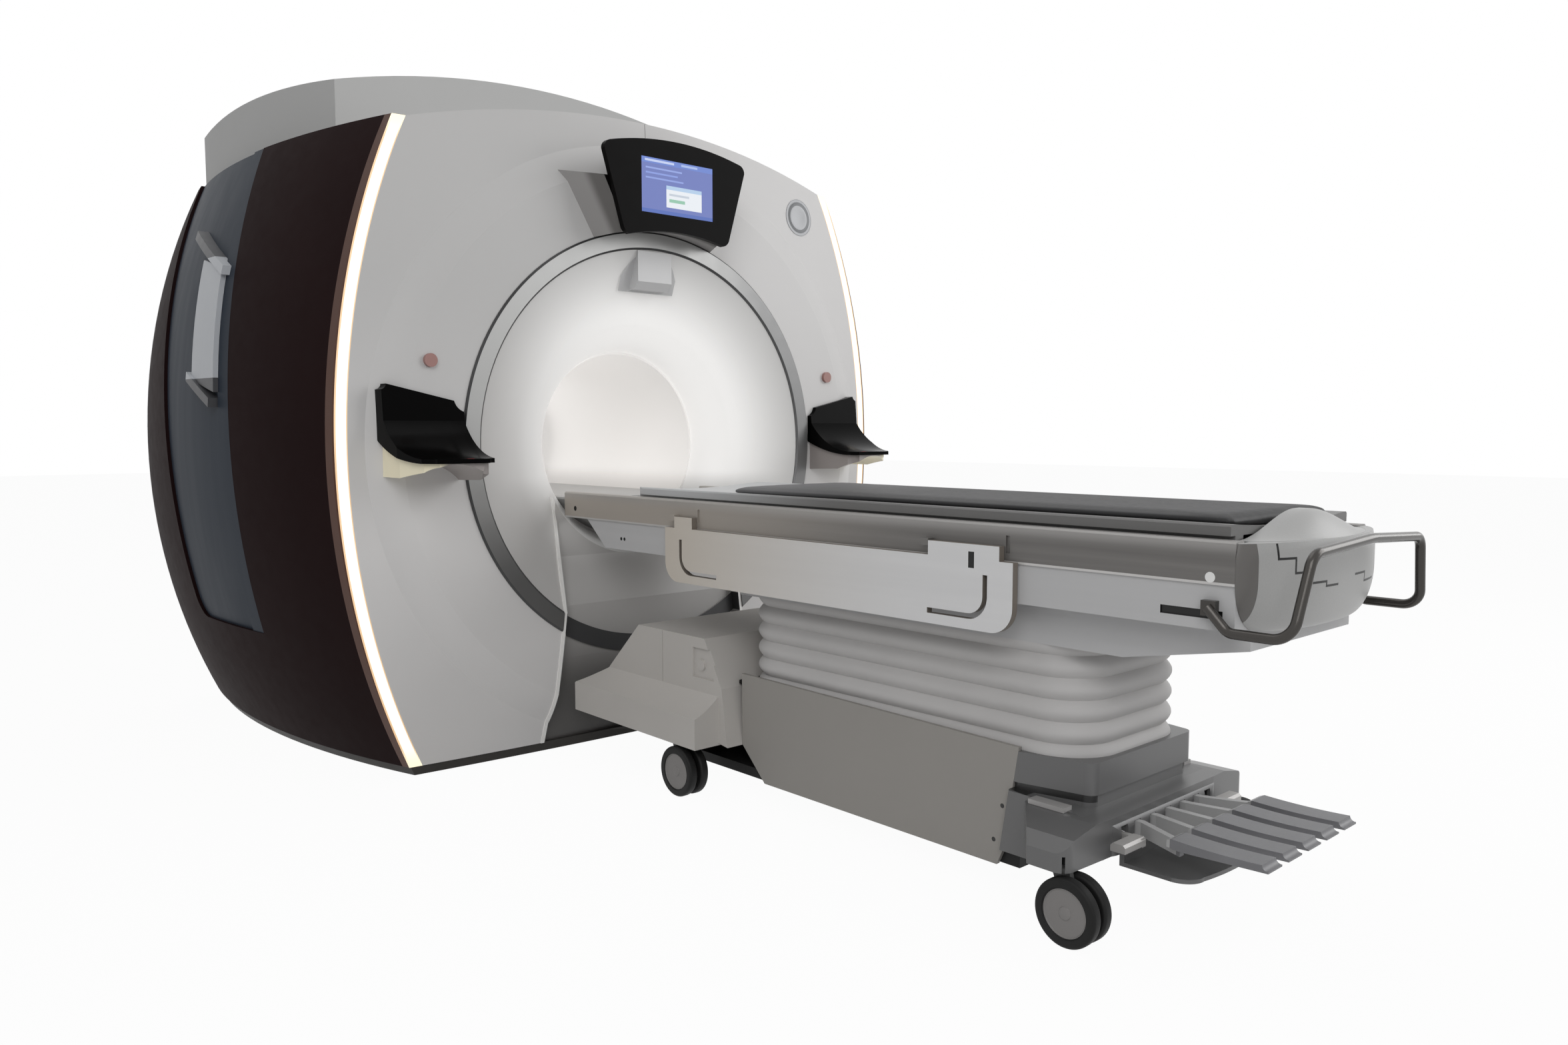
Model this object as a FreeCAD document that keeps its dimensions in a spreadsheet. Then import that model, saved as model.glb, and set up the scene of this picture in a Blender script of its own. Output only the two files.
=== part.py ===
import FreeCAD, Part
import math
import os
from types import SimpleNamespace

import Sketcher
from FreeCAD import Placement, Rotation, Vector

# A magnetic resonance scanner: a gantry with a round bore, and the wheeled patient table docked to it.
# The origin is on the floor below the isocentre, +Z is up, the bore runs along Y, and the table
# stands on the -Y side. "Left" is -X, as seen from the foot of the table. All lengths are millimetres.

SIZES = {
    # bore and magnet
    "iso_height": 1100,
    "bore_radius": 350,
    "liner_wall": 8,
    "liner_length": 1300,
    "coil_radius": 450,
    "coil_length": 1200,
    "magnet_radius": 950,
    "magnet_length": 1500,
    "saddle_width": 120,
    "saddle_half_span": 640,
    "turret_radius": 120,
    "turret_height": 330,
    # front face, a shallow dome with a flat disc raised round the bore
    "front_depth": 900,
    "face_radius": 12000,
    "face_set_back": 5,
    "cover_wall": 20,
    "disc_radius": 1095,
    "disc_flat_radius": 990,
    "ring_outer": 785,
    "ring_inner": 720,
    "ring_proud": 9,
    "ring_thickness": 34,
    "flare_wall": 12,
    "flare_throat": 462,
    "flare_depth": 112,
    "front_waist": 1147,
    "front_foot": 917,
    "plinth_height": 32,
    "shoulder_height": 2160,
    "crown_rise": 130,
    "seam_gap": 3,
    # light strips, side covers and rear
    "strip_width": 45,
    "strip_depth": 30,
    "strip_set_back": 50,
    "side_bulge": 163,
    "side_centre": 250,
    "side_wall": 25,
    "rear_depth": 880,
    "rear_flare_radius": 600,
    "plinth_inset": 8,
    "inset_set_back": 12,
    "inset_wall": 13,
    "inset_foot": 445,
    "bar_foot": 1285,
    "bar_top": 1718,
    "bar_width": 200,
    # cover over the magnet's service turret
    "hump_front": 150,
    "hump_half_front": 880,
    "hump_half_rear": 1045,
    "hump_shoulder_rise": 270,
    "hump_crown_rise": 395,
    "hump_wall": 15,
    # monitor, positioning light and hand panels
    "monitor_depth": 150,
    "monitor_half_top": 318,
    "monitor_half_foot": 232,
    "monitor_top": 2146,
    "monitor_foot": 1840,
    "screen_half_width": 160,
    "screen_foot": 1924,
    "screen_top": 2116,
    "panel_inner": 786,
    "panel_outer": 1062,
    "panel_reach": 268,
    "panel_height": 1066,
    "panel_back_height": 234,
    "button_radius": 22,
    "button_x": 893,
    "button_z": 1379,
    "button_fit": 0.05,
    # docking panel below the bore
    "dock_half_top": 374,
    "dock_half_foot": 484,
    "dock_top": 948,
    "dock_set_back": 42,
    "dock_rim": 15,
    "dock_rim_proud": 4,
    "bridge_half": 285,
    "bridge_top": 904,
    # table top
    "table_head": 786,
    "table_foot": 3330,
    "table_half": 330,
    "rail_bottom": 838,
    "rail_top": 930,
    "rail_wall": 36,
    "pan_bottom": 743,
    "skirt_bottom": 640,
    "cradle_half": 292,
    "cradle_head": 1160,
    "cradle_deck": 936,
    "cradle_thickness": 18,
    "pad_thickness": 22,
    "pad_head": 1640,
    "handle_half": 288,
    "handle_reach": 124,
    "handle_radius": 11,
    "handle_top": 912,
    "handle_foot": 744,
    "lift_range": 140,
    # side guards
    "guard_head": 1430,
    "guard_foot": 2800,
    "guard_bottom": 668,
    "guard_top": 842,
    "guard_thickness": 20,
    "guard_gap": 1,
    "hinge_height": 874,
    "hinge_radius": 4,
    "running_fit": 0.05,
    # table base
    "base_half": 270,
    "base_head": 1718,
    "base_joint": 2768,
    "base_foot": 3020,
    "base_bottom": 66,
    "base_deck": 368,
    "cover_sheet": 12,
    "column_half": 86,
    "column_wall": 20,
    "column_y": 2230,
    "bellows_head": 1690,
    "bellows_foot": 2940,
    "bellows_half": 252,
    "bellows_corner": 140,
    "fold_depth": 17,
    "fold_count": 5,
    # casters
    "wheel_radius": 80,
    "wheel_width": 30,
    "wheel_gap": 14,
    "caster_x": 390,
    "caster_head": 1575,
    "caster_foot": 3008,
    "caster_trail": 34,
    "stem_radius": 11,
    "outrigger_height": 184,
    "arm_thickness": 18,
    # foot pedals
    "pedal_pitch": 98,
    "pedal_count": 5,
    "hub_pitch": 70,
    "slat_width": 66,
    "slat_length": 232,
    "slat_head": 3142,
    "slat_top": 242,
    "shaft_radius": 7,
    "shaft_y": 2965,
    "shaft_z": 205,
}

doc = FreeCAD.newDocument("mri_scanner")
sheet = doc.addObject("Spreadsheet::Sheet", "Dims")
for row, (alias, value) in enumerate(SIZES.items(), start=1):
    sheet.set(f"A{row}", alias)
    sheet.set(f"B{row}", str(value))
    sheet.setAlias(f"B{row}", alias)
doc.recompute()


class Size:
    """A value together with the sheet formula that gives it."""

    def __init__(self, value, formula):
        self.value = float(value)
        self.formula = formula

    def __float__(self):
        return self.value

    def __add__(self, other):
        other = as_size(other)
        return Size(self.value + other.value, f"({self.formula} + {other.formula})")

    def __sub__(self, other):
        other = as_size(other)
        return Size(self.value - other.value, f"({self.formula} - {other.formula})")

    def __mul__(self, other):
        other = as_size(other)
        return Size(self.value * other.value, f"({self.formula} * {other.formula})")

    def __truediv__(self, other):
        other = as_size(other)
        return Size(self.value / other.value, f"({self.formula} / {other.formula})")

    def __radd__(self, other):
        return as_size(other) + self

    def __rsub__(self, other):
        return as_size(other) - self

    def __rmul__(self, other):
        return as_size(other) * self

    def __neg__(self):
        return Size(-self.value, f"(-1 * {self.formula})")


def as_size(number):
    return number if isinstance(number, Size) else Size(number, f"({float(number)})")


# dim holds the sizes as sheet formulas, and mm holds the same sizes as plain numbers.
dim = SimpleNamespace(**{alias: Size(value, f"Dims.{alias}") for alias, value in SIZES.items()})
mm = SimpleNamespace(**SIZES)
kept = []


# %% Document objects with bound sizes

def bind(thing, prop, size):
    """Sets a property, through the sheet where the size comes from it."""
    setattr(thing, prop, float(size))
    if isinstance(size, Size) and "Dims" in size.formula:
        thing.setExpression(prop, size.formula)


def place(thing, x, y, z, rotation=Rotation()):
    thing.Placement = Placement(Vector(float(x), float(y), float(z)), rotation)
    for letter, size in zip("xyz", (x, y, z)):
        if isinstance(size, Size):
            thing.setExpression(f"Placement.Base.{letter}", size.formula)


def box(name, x, y, z):
    """A block given by its two ends along each axis."""
    block = doc.addObject("Part::Box", name)
    bind(block, "Length", x[1] - x[0])
    bind(block, "Width", y[1] - y[0])
    bind(block, "Height", z[1] - z[0])
    place(block, x[0], y[0], z[0])
    return block


AXIS_TURN = {
    "x": Rotation(Vector(0, 1, 0), 90),
    "y": Rotation(Vector(1, 0, 0), -90),
    "z": Rotation(),
}


def rod(name, axis, radius, start, length):
    """A cylinder that runs from its start point along the positive axis."""
    cylinder = doc.addObject("Part::Cylinder", name)
    bind(cylinder, "Radius", radius)
    bind(cylinder, "Height", length)
    place(cylinder, *start, AXIS_TURN[axis])
    return cylinder


def cut(name, base, *tools):
    result = doc.addObject("Part::Cut", name)
    result.Base = base
    result.Tool = tools[0] if len(tools) == 1 else fuse(name + "_tools", *tools)
    return result


def fuse(name, *pieces):
    result = doc.addObject("Part::MultiFuse", name)
    result.Shapes = list(pieces)
    return result


def common(name, *pieces):
    result = doc.addObject("Part::MultiCommon", name)
    result.Shapes = list(pieces)
    return result


def mirrored(name, source):
    """The same piece on the other side of the middle plane."""
    result = doc.addObject("Part::Mirroring", name)
    result.Source = source
    result.Normal = Vector(1, 0, 0)
    return result


def shaped(name, shape):
    """A freely formed piece."""
    result = doc.addObject("Part::Feature", name)
    result.Shape = shape
    result.Placement = Placement()
    return result


def keep(name, thing):
    """Names a sub-part, which is one piece of the scanner."""
    thing.Label = name
    kept.append(thing)
    return thing


def arc_middle(start, stop, rise):
    """The middle of an arc that stands off its chord by the rise, to the left of its travel."""
    across = (stop[0] - start[0], stop[1] - start[1])
    length = math.hypot(*across)
    return (
        (start[0] + stop[0]) / 2 - across[1] / length * rise,
        (start[1] + stop[1]) / 2 + across[0] / length * rise,
    )


def draw(sketch, corners):
    """Joins (u, v) corners by lines, or by an arc where a corner has a third value, its rise."""
    first = sketch.GeometryCount
    if corners[0] == "circle":
        centre_u, centre_v, radius = corners[1:]
        circle = Part.Circle(Vector(float(centre_u), float(centre_v), 0), Vector(0, 0, 1), float(radius))
        sketch.addGeometry(circle, False)
        dimension(sketch, ("Radius", first), as_size(radius))
        pin(sketch, (first, 3), centre_u, centre_v)
        return
    ends = []
    for index, corner in enumerate(corners):
        following = corners[(index + 1) % len(corners)]
        start = (float(corner[0]), float(corner[1]))
        stop = (float(following[0]), float(following[1]))
        if len(corner) == 2:
            sketch.addGeometry(Part.LineSegment(Vector(*start, 0), Vector(*stop, 0)), False)
            ends.append((1, 2))
            continue
        rise = as_size(corner[2])
        middle = arc_middle(start, stop, rise.value)
        whole = Part.Arc(Vector(*start, 0), Vector(*middle, 0), Vector(*stop, 0)).toShape().Curve
        centre = Vector(whole.Center.x, whole.Center.y, 0)
        low, high = (stop, start) if rise.value > 0 else (start, stop)
        angles = [math.atan2(point[1] - centre.y, point[0] - centre.x) for point in (low, high)]
        circle = Part.Circle(centre, Vector(0, 0, 1), whole.Radius)
        sketch.addGeometry(Part.ArcOfCircle(circle, *angles), False)
        ends.append((2, 1) if rise.value > 0 else (1, 2))
        across = (as_size(following[0]) - corner[0], as_size(following[1]) - corner[1])
        chord_squared = across[0] * across[0] + across[1] * across[1]
        radius = (chord_squared / 4 + rise * rise) / (2 * rise)
        if radius.value < 0:
            radius = -radius
        dimension(sketch, ("Radius", first + index), radius)
    for index, corner in enumerate(corners):
        before = (index - 1) % len(corners)
        sketch.addConstraint(Sketcher.Constraint(
            "Coincident", first + before, ends[before][1], first + index, ends[index][0]))
        pin(sketch, (first + index, ends[index][0]), corner[0], corner[1])


def pin(sketch, point, u, v):
    """Holds a point of a sketch at (u, v)."""
    for axis, kind, size in ((-2, "DistanceX", u), (-1, "DistanceY", v)):
        if not isinstance(size, Size) and size == 0:
            sketch.addConstraint(Sketcher.Constraint("PointOnObject", *point, axis))
        else:
            dimension(sketch, (kind, -1, 1, *point), as_size(size))


def dimension(sketch, reference, size):
    """Adds one dimension to a sketch and ties it to the sheet."""
    index = sketch.addConstraint(Sketcher.Constraint(*reference, size.value))
    if "Dims" in size.formula:
        sketch.setExpression(f"Constraints[{index}]", size.formula)


def sketch_on(body, role, away, lift=0):
    """An empty sketch on one of the body's own origin planes, moved off along its normal."""
    sketch = body.newObject("Sketcher::SketchObject", body.Name + "_sketch")
    base = next(plane for plane in body.Origin.OriginFeatures if plane.Role == role)
    sketch.AttachmentSupport = (base, "")
    sketch.MapMode = "FlatFace"
    sketch.AttachmentOffset = Placement(Vector(0, float(lift), float(away)), Rotation())
    for letter, size in (("y", lift), ("z", away)):
        if isinstance(size, Size):
            sketch.setExpression(f"AttachmentOffset.Base.{letter}", size.formula)
    return sketch


def padded(name, axis, span, *outlines):
    """A body padded along an axis over a span. The first outline is the rim, and the rest are holes.

    Outlines are in (x, z) for axis y, in (y, z) for axis x and in (x, y) for axis z.
    """
    body = doc.addObject("PartDesign::Body", name)
    role = {"x": "YZ_Plane", "y": "XZ_Plane", "z": "XY_Plane"}[axis]
    away = -as_size(span[1]) if axis == "y" else as_size(span[0])
    sketch = sketch_on(body, role, away)
    for outline in outlines:
        draw(sketch, outline)
    pad = body.newObject("PartDesign::Pad", name + "_pad")
    pad.Profile = sketch
    bind(pad, "Length", as_size(span[1]) - span[0])
    sketch.Visibility = False
    return body


def turned(name, outline):
    """A body turned about the bore axis from an outline in (y, radius)."""
    body = doc.addObject("PartDesign::Body", name)
    sketch = sketch_on(body, "YZ_Plane", 0, dim.iso_height)
    draw(sketch, outline)
    revolution = body.newObject("PartDesign::Revolution", name + "_turn")
    revolution.Profile = sketch
    revolution.ReferenceAxis = (sketch, ["H_Axis"])
    revolution.Angle = 360
    sketch.Visibility = False
    return body


def tube(name, inner, outer, y_start, y_stop):
    return turned(name, [(y_start, inner), (y_stop, inner), (y_stop, outer), (y_start, outer)])


# %% Solids made directly, for the domed and lofted covers

def wire(corners, spot):
    """The same outline rule as draw, as a wire through points that spot places in space."""
    edges = []
    for index, corner in enumerate(corners):
        start = corner[:2]
        stop = corners[(index + 1) % len(corners)][:2]
        if len(corner) == 2:
            edges.append(Part.LineSegment(spot(*start), spot(*stop)).toShape())
        else:
            middle = arc_middle(start, stop, corner[2])
            edges.append(Part.Arc(spot(*start), spot(*middle), spot(*stop)).toShape())
    return Part.Wire(edges)


def slab_x(corners, x_start, x_stop):
    face = Part.Face(wire(corners, lambda y, z: Vector(x_start, y, z)))
    return face.extrude(Vector(x_stop - x_start, 0, 0))


def slab_y(corners, y_start, y_stop):
    face = Part.Face(wire(corners, lambda x, z: Vector(x, y_start, z)))
    return face.extrude(Vector(0, y_stop - y_start, 0))


def slab_z(corners, z_start, z_stop):
    face = Part.Face(wire(corners, lambda x, y: Vector(x, y, z_start)))
    return face.extrude(Vector(0, 0, z_stop - z_start))


def block(x, y, z):
    return Part.makeBox(x[1] - x[0], y[1] - y[0], z[1] - z[0], Vector(x[0], y[0], z[0]))


def bore_turn(corners):
    """A solid turned about the bore axis from (radius, y) corners."""
    face = Part.Face(wire(corners, lambda radius, y: Vector(radius, y, mm.iso_height)))
    return face.revolve(Vector(0, 0, mm.iso_height), Vector(0, 1, 0), 360)


def mirror_x(shape):
    return shape.mirror(Vector(0, 0, 0), Vector(1, 0, 0))


waist_height = (mm.plinth_height + mm.shoulder_height) / 2
half_height = (mm.shoulder_height - mm.plinth_height) / 2
waist_rise = mm.front_waist - mm.front_foot
waist_radius = (half_height ** 2 + waist_rise ** 2) / (2 * waist_rise)
crown_rise = mm.crown_rise
crown_height = mm.shoulder_height + mm.crown_rise
crown_radius = (mm.front_foot ** 2 + crown_rise ** 2) / (2 * crown_rise)
side_reach = mm.front_waist + mm.strip_width + mm.side_bulge
side_half_chord = mm.front_depth - mm.strip_set_back + mm.side_centre
side_plan_radius = (side_half_chord ** 2 + mm.side_bulge ** 2) / (2 * mm.side_bulge)
FAR = 2600


def front_solid(depth):
    """All that lies behind the front face, moved back by a depth."""
    dome = mm.face_radius - depth
    dome_centre = mm.face_radius - mm.front_depth - mm.face_set_back

    def dome_y(radius):
        return dome_centre - math.sqrt(dome ** 2 - radius ** 2)

    disc_y = depth - mm.front_depth
    edge = mm.disc_radius - depth
    rim = 1750
    if depth > 0:
        slope = [(edge + (rim - edge) * share, dome_y(edge + (rim - edge) * share))
                 for share in (0, 0.33, 0.66, 1)]
        return bore_turn([(0, FAR), (0, disc_y), (mm.disc_flat_radius, disc_y)] + slope + [(rim, FAR)])
    chord = math.hypot(rim - edge, dome_y(rim) - dome_y(edge))
    rise = dome - math.sqrt(dome ** 2 - chord ** 2 / 4)
    return bore_turn([
        (0, FAR), (0, disc_y), (mm.disc_flat_radius, disc_y, -5), (edge, dome_y(edge), -rise),
        (rim, dome_y(rim)), (rim, FAR),
    ])


def left_barrel(depth, bands=0):
    """All that lies inside the left side's bulging face, moved in by a depth, or in flat bands."""
    radius = waist_radius - depth
    low, high = -180, 2 * waist_height + 180

    def reach(z):
        return waist_radius - side_reach - math.sqrt(radius ** 2 - (z - waist_height) ** 2)

    rise = reach(high) - reach(waist_height)
    side = [(reach(low), low, rise), (reach(high), high)]
    if bands:
        steps = [low + (high - low) * index / bands for index in range(bands + 1)]
        side = [(reach(z), z) for z in steps]
    outline = [(mm.front_waist, low)] + side + [(mm.front_waist, high)]
    face = Part.Face(wire(outline, lambda x, z: Vector(x, mm.side_centre, z)))
    axis = Vector(side_plan_radius - side_reach, mm.side_centre, 0)
    swing = 40
    face.rotate(axis, Vector(0, 0, 1), -swing)
    return face.revolve(axis, Vector(0, 0, 1), 2 * swing)


def arch(drop, foot):
    """The outline below the arched top edge, in (x, z), from a foot height up."""
    half = 1400
    radius = crown_radius - drop
    low = crown_height - crown_radius + math.sqrt(radius ** 2 - half ** 2)
    rise = radius - math.sqrt(radius ** 2 - half ** 2)
    return [(-half, foot), (half, foot), (half, low, -rise), (-half, low)]


def front_outline():
    """The front cover's outline, in (x, z): bowed sides, flat foot and arched top."""
    foot, shoulder = mm.plinth_height, mm.shoulder_height
    half = mm.front_foot
    return [
        (-half, foot), (half, foot, -waist_rise), (half, shoulder, -crown_rise),
        (-half, shoulder, -waist_rise),
    ]


def dock_outline(grow):
    """The docking panel's outline, in (x, z), which widens towards the floor."""
    top = mm.dock_half_top + grow
    foot = mm.dock_half_foot + grow
    bow = 16
    return [
        (-foot, mm.plinth_height), (foot, mm.plinth_height, bow), (top, mm.dock_top),
        (-top, mm.dock_top, bow),
    ]


# %% Gantry: frame, magnet and bore

left_half = block((-FAR, 0), (-FAR, FAR), (mm.plinth_height, mm.shoulder_height))
rear_inner = mm.rear_depth - mm.cover_wall


def core(depth, bands=0):
    left = left_barrel(depth, bands)
    return left.common(mirror_x(left))


def base_frame():
    """A floor plate inside the covers' outline, with two saddles that carry the magnet."""
    plate = core(mm.plinth_inset).common(front_solid(mm.plinth_inset))
    plate = plate.common(block((-FAR, FAR), (-FAR, rear_inner), (0, mm.plinth_height)))
    span = mm.saddle_half_span
    top = mm.iso_height - math.sqrt(mm.magnet_radius ** 2 - span ** 2)
    magnet = bore_turn([(0, -FAR), (mm.magnet_radius, -FAR), (mm.magnet_radius, FAR), (0, FAR)])
    saddle_y = mm.magnet_length / 2 - 1.5 * mm.saddle_width
    pieces = [plate]
    for side in (-1, 1):
        ends = (side * saddle_y - mm.saddle_width / 2, side * saddle_y + mm.saddle_width / 2)
        pieces.append(block((-span, span), ends, (mm.plinth_height, top)).cut(magnet))
    return pieces[0].fuse(pieces[1:]).removeSplitter()


keep("base_frame", shaped("base_frame", base_frame()))

liner_outer = dim.bore_radius + dim.liner_wall
liner_end = dim.liner_length / 2
keep("bore_liner", tube("bore_liner", dim.bore_radius, liner_outer, -liner_end, liner_end))
keep("gradient_coil", tube(
    "gradient_coil", liner_outer, dim.coil_radius, -dim.coil_length / 2, dim.coil_length / 2))
keep("magnet_vessel", tube(
    "magnet_vessel", dim.coil_radius, dim.magnet_radius, -dim.magnet_length / 2, dim.magnet_length / 2))

turret_y = dim.magnet_length / 5
turret = rod("turret", "z", dim.turret_radius, (0, turret_y, dim.iso_height),
             dim.magnet_radius + dim.turret_height)
turret_flange = rod("turret_flange", "z", dim.turret_radius * 1.4, (0, turret_y, dim.iso_height),
                    dim.magnet_radius + dim.turret_height / 6)
turret_seat = rod("turret_seat", "y", dim.magnet_radius, (0, -dim.magnet_length, dim.iso_height),
                  dim.magnet_length * 2)
keep("service_turret", cut("service_turret", fuse("turret_blank", turret, turret_flange), turret_seat))

track_start = dim.table_head - 8
track_blank = box("track_blank", (-dim.bridge_half, dim.bridge_half), (-track_start, liner_end),
                  (dim.iso_height - dim.bore_radius, dim.bridge_top))
track_round = rod("track_round", "y", dim.bore_radius, (0, -dim.front_depth, dim.iso_height),
                  dim.front_depth * 2)
keep("bore_track", common("bore_track", track_blank, track_round))


# %% Docking panel, set back below the bore, with a bright rim

def dock_profile(back):
    """The panel's face in (y, z) from the floor up, moved back."""
    face = mm.front_depth - mm.dock_set_back
    upper = mm.table_head - 10
    return [
        (back - face + 28, mm.plinth_height), (back - face, 330), (back - face, 520),
        (back - upper, 690), (back - upper, mm.dock_top),
    ]


def in_front_of(profile):
    """All of the space on the -Y side of a profile given from the floor up."""
    corners = [(-FAR, mm.plinth_height)] + profile + [(-FAR, mm.dock_top)]
    return slab_x(corners, -mm.front_waist, mm.front_waist)


dock_sheet = 15
dock_slab = slab_y(dock_outline(0), -FAR, 0)
dock_space = dock_slab.common(in_front_of(dock_profile(dock_sheet)))


def dock_panel():
    inner = slab_y(dock_outline(-mm.dock_rim), -FAR, 0)
    throat = 420
    mouth = bore_turn([(0, -FAR), (throat, -FAR), (throat, 0), (0, 0)])
    face = in_front_of(dock_profile(0))
    sheet_back = in_front_of(dock_profile(dock_sheet))
    plate = dock_slab.common(sheet_back).cut(face).cut(mouth)
    proud = mm.dock_rim_proud
    funnel_y = mm.flare_depth - mm.front_depth
    funnel = bore_turn([
        (0, -FAR), (mm.ring_inner, -FAR), (mm.ring_inner, -mm.front_depth - proud),
        (mm.flare_throat, funnel_y - proud), (mm.flare_throat - 22, funnel_y + 12),
        (mm.flare_throat - 30, 0), (0, 0),
    ])
    rim = dock_slab.cut(inner).common(face).common(front_solid(-proud)).cut(funnel)
    band = bore_turn([
        (mm.ring_inner, -FAR), (mm.ring_outer, -FAR), (mm.ring_outer, 0), (mm.ring_inner, 0)])
    band_face = in_front_of(dock_profile(-6))
    band = band.common(inner).common(face).cut(band_face)
    return plate.fuse([rim, band]).removeSplitter()


keep("dock_panel", shaped("dock_panel", dock_panel()))
dock_tool = shaped("dock_tool", dock_space)

throat_y = dim.flare_depth - dim.front_depth
throat_length = -liner_end - throat_y
mouth = dim.bore_radius + dim.liner_wall
throat_rise = dim.flare_throat - mouth
bell = [(throat_y + throat_length * along, mouth + throat_rise * (1 - along) ** 2 * 0.96)
        for along in (0.2, 0.45, 0.7)]
flare = turned("flare_blank", [
    (-liner_end, mouth),
    (-liner_end, mouth + dim.flare_wall),
    (throat_y + throat_length * 0.45, mouth + dim.flare_wall + throat_rise * 0.34),
    (throat_y + dim.flare_wall - 1, dim.flare_throat + 5),
    (dim.flare_wall + 2 - dim.front_depth, dim.ring_inner),
    (-dim.front_depth, dim.ring_inner),
    (throat_y, dim.flare_throat),
] + bell)
keep("front_flare", cut("front_flare", flare, dock_tool))

ring_front = -dim.front_depth - dim.ring_proud
ring = turned("ring_blank", [
    (ring_front + dim.ring_thickness, dim.ring_inner),
    (ring_front + dim.ring_thickness, dim.ring_outer),
    (ring_front + 6, dim.ring_outer),
    (ring_front, dim.ring_outer - 6),
    (ring_front, dim.ring_inner + 6),
    (ring_front + 6, dim.ring_inner),
])
keep("trim_ring", cut("trim_ring", ring, dock_tool))


# %% Front covers, light strips and side covers

button_hole = rod("button_hole", "y", dim.button_radius + dim.button_fit,
                  (-dim.button_x, -dim.front_depth * 1.2, dim.button_z), dim.front_depth)


def front_cover_left():
    """The left half of the domed front, a sheet that ends at the trim ring and the docking panel."""
    sheet_metal = front_solid(0).cut(front_solid(mm.cover_wall))
    sheet_metal = sheet_metal.common(slab_y(front_outline(), -FAR, 0))
    opening = bore_turn([(0, -FAR), (mm.ring_outer, -FAR), (mm.ring_outer, 0), (0, 0)])
    half = block((-FAR, -mm.seam_gap / 2), (-FAR, 0), (0, FAR))
    return sheet_metal.cut(opening).cut(slab_y(dock_outline(0), -FAR, 0)).common(half)


front_blank = shaped("front_blank", front_cover_left())
front_left = keep("front_cover_left", cut("front_cover_left", front_blank, button_hole))
keep("front_cover_right", mirrored("front_cover_right", front_left))


def light_strip_left():
    """The glowing strip along the front cover's bowed edge."""
    band = front_solid(0).cut(front_solid(mm.strip_depth)).common(left_barrel(0))
    return band.common(left_half).cut(slab_y(front_outline(), -FAR, 0))


strip_left = keep("light_strip_left", shaped("light_strip_left", light_strip_left()))
keep("light_strip_right", mirrored("light_strip_right", strip_left))


def inset_window(margin):
    """The side cover's tall window in (y, z), open at its top, moved in by a margin at its front."""
    front_top, front_foot = margin - 45, margin - 273
    rear_top, rear_foot = 815, 325
    foot, top = mm.inset_foot, mm.shoulder_height + 100
    turn = 85
    return [
        (front_foot, foot), (rear_foot - turn, foot, -turn * 0.2929), (rear_foot, foot + turn, 105),
        (rear_top, top), (front_top, top, -80),
    ]


def side_skin(outer, inner, bands=0):
    """A layer of the left side between two depths; its hidden inner face may be in flat bands."""
    return left_barrel(outer).cut(left_barrel(inner, bands)).common(left_half)


def side_cover_left():
    """The dark side, a barrel-shaped sheet from the light strip to the rear cover."""
    skin = side_skin(0, mm.side_wall, 8).common(front_solid(mm.strip_depth))
    skin = skin.common(block((-FAR, 0), (-FAR, rear_inner), (0, FAR)))
    return skin.cut(slab_x(inset_window(0), -FAR, 0))


def side_inset_left():
    """The pale panel in the side window, with a raised border along its front edge."""
    window = slab_x(inset_window(0), -FAR, 0)
    back = mm.inset_set_back + mm.inset_wall
    panel = side_skin(mm.inset_set_back, back, 8).common(window)
    border = side_skin(3, back, 8).common(window).cut(slab_x(inset_window(85), -FAR, 0))
    return panel.fuse(border).removeSplitter()


def grab_bar_left():
    """A flat grab plate that two slanted bars hold off the side inset."""
    foot, top, width = mm.bar_foot, mm.bar_top, mm.bar_width
    near_foot, near_top = -168, -108
    plate = side_skin(-14, 2.7).common(slab_x([
        (near_foot, foot), (near_foot + width, foot + 50), (near_top + width, top + 50),
        (near_top, top)], -FAR, 0))
    bars = []
    for near, low, length in ((near_foot + 14, foot - 52, 215), (near_top - 30, top - 26, 372)):
        climb = length * 0.45
        slant = [(near, low), (near + length, low + climb), (near + length, low + climb + 32),
                 (near, low + 32)]
        bars.append(side_skin(-24, mm.inset_set_back).common(slab_x(slant, -FAR, 0)))
    return plate.fuse(bars).cut(side_inset_left()).removeSplitter()


side_left = keep("side_cover_left", shaped("side_cover_left", side_cover_left()))
keep("side_cover_right", mirrored("side_cover_right", side_left))
inset_left = keep("side_inset_left", shaped("side_inset_left", side_inset_left()))
keep("side_inset_right", mirrored("side_inset_right", inset_left))
bar_left = grab_bar_left()
keep("grab_bars", shaped("grab_bars", Part.Compound([bar_left, mirror_x(bar_left)])))


# %% Roof, turret cover and rear cover

def roof_panel():
    """The arched roof between the covers, open where the magnet's turret passes."""
    sheet_metal = slab_y(arch(0, 0), -FAR, rear_inner).cut(slab_y(arch(mm.cover_wall, -50), -FAR, FAR))
    sheet_metal = sheet_metal.common(core(mm.side_wall, 8)).common(front_solid(mm.cover_wall))
    hatch = block((-600, 600), (mm.magnet_length / 15, mm.magnet_length / 2), (0, FAR))
    strip = light_strip_left()
    sheet_metal = sheet_metal.cut(strip).cut(mirror_x(strip))
    return sheet_metal.common(block((-FAR, FAR), (-FAR, FAR), (mm.iso_height, FAR))).cut(hatch)


def hump_section(y, half, shoulder, crown):
    foot = mm.shoulder_height - 150
    outline = [(-half, foot), (half, foot), (half, shoulder, shoulder - crown), (-half, shoulder)]
    return wire(outline, lambda x, z: Vector(x, y, z))


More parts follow.
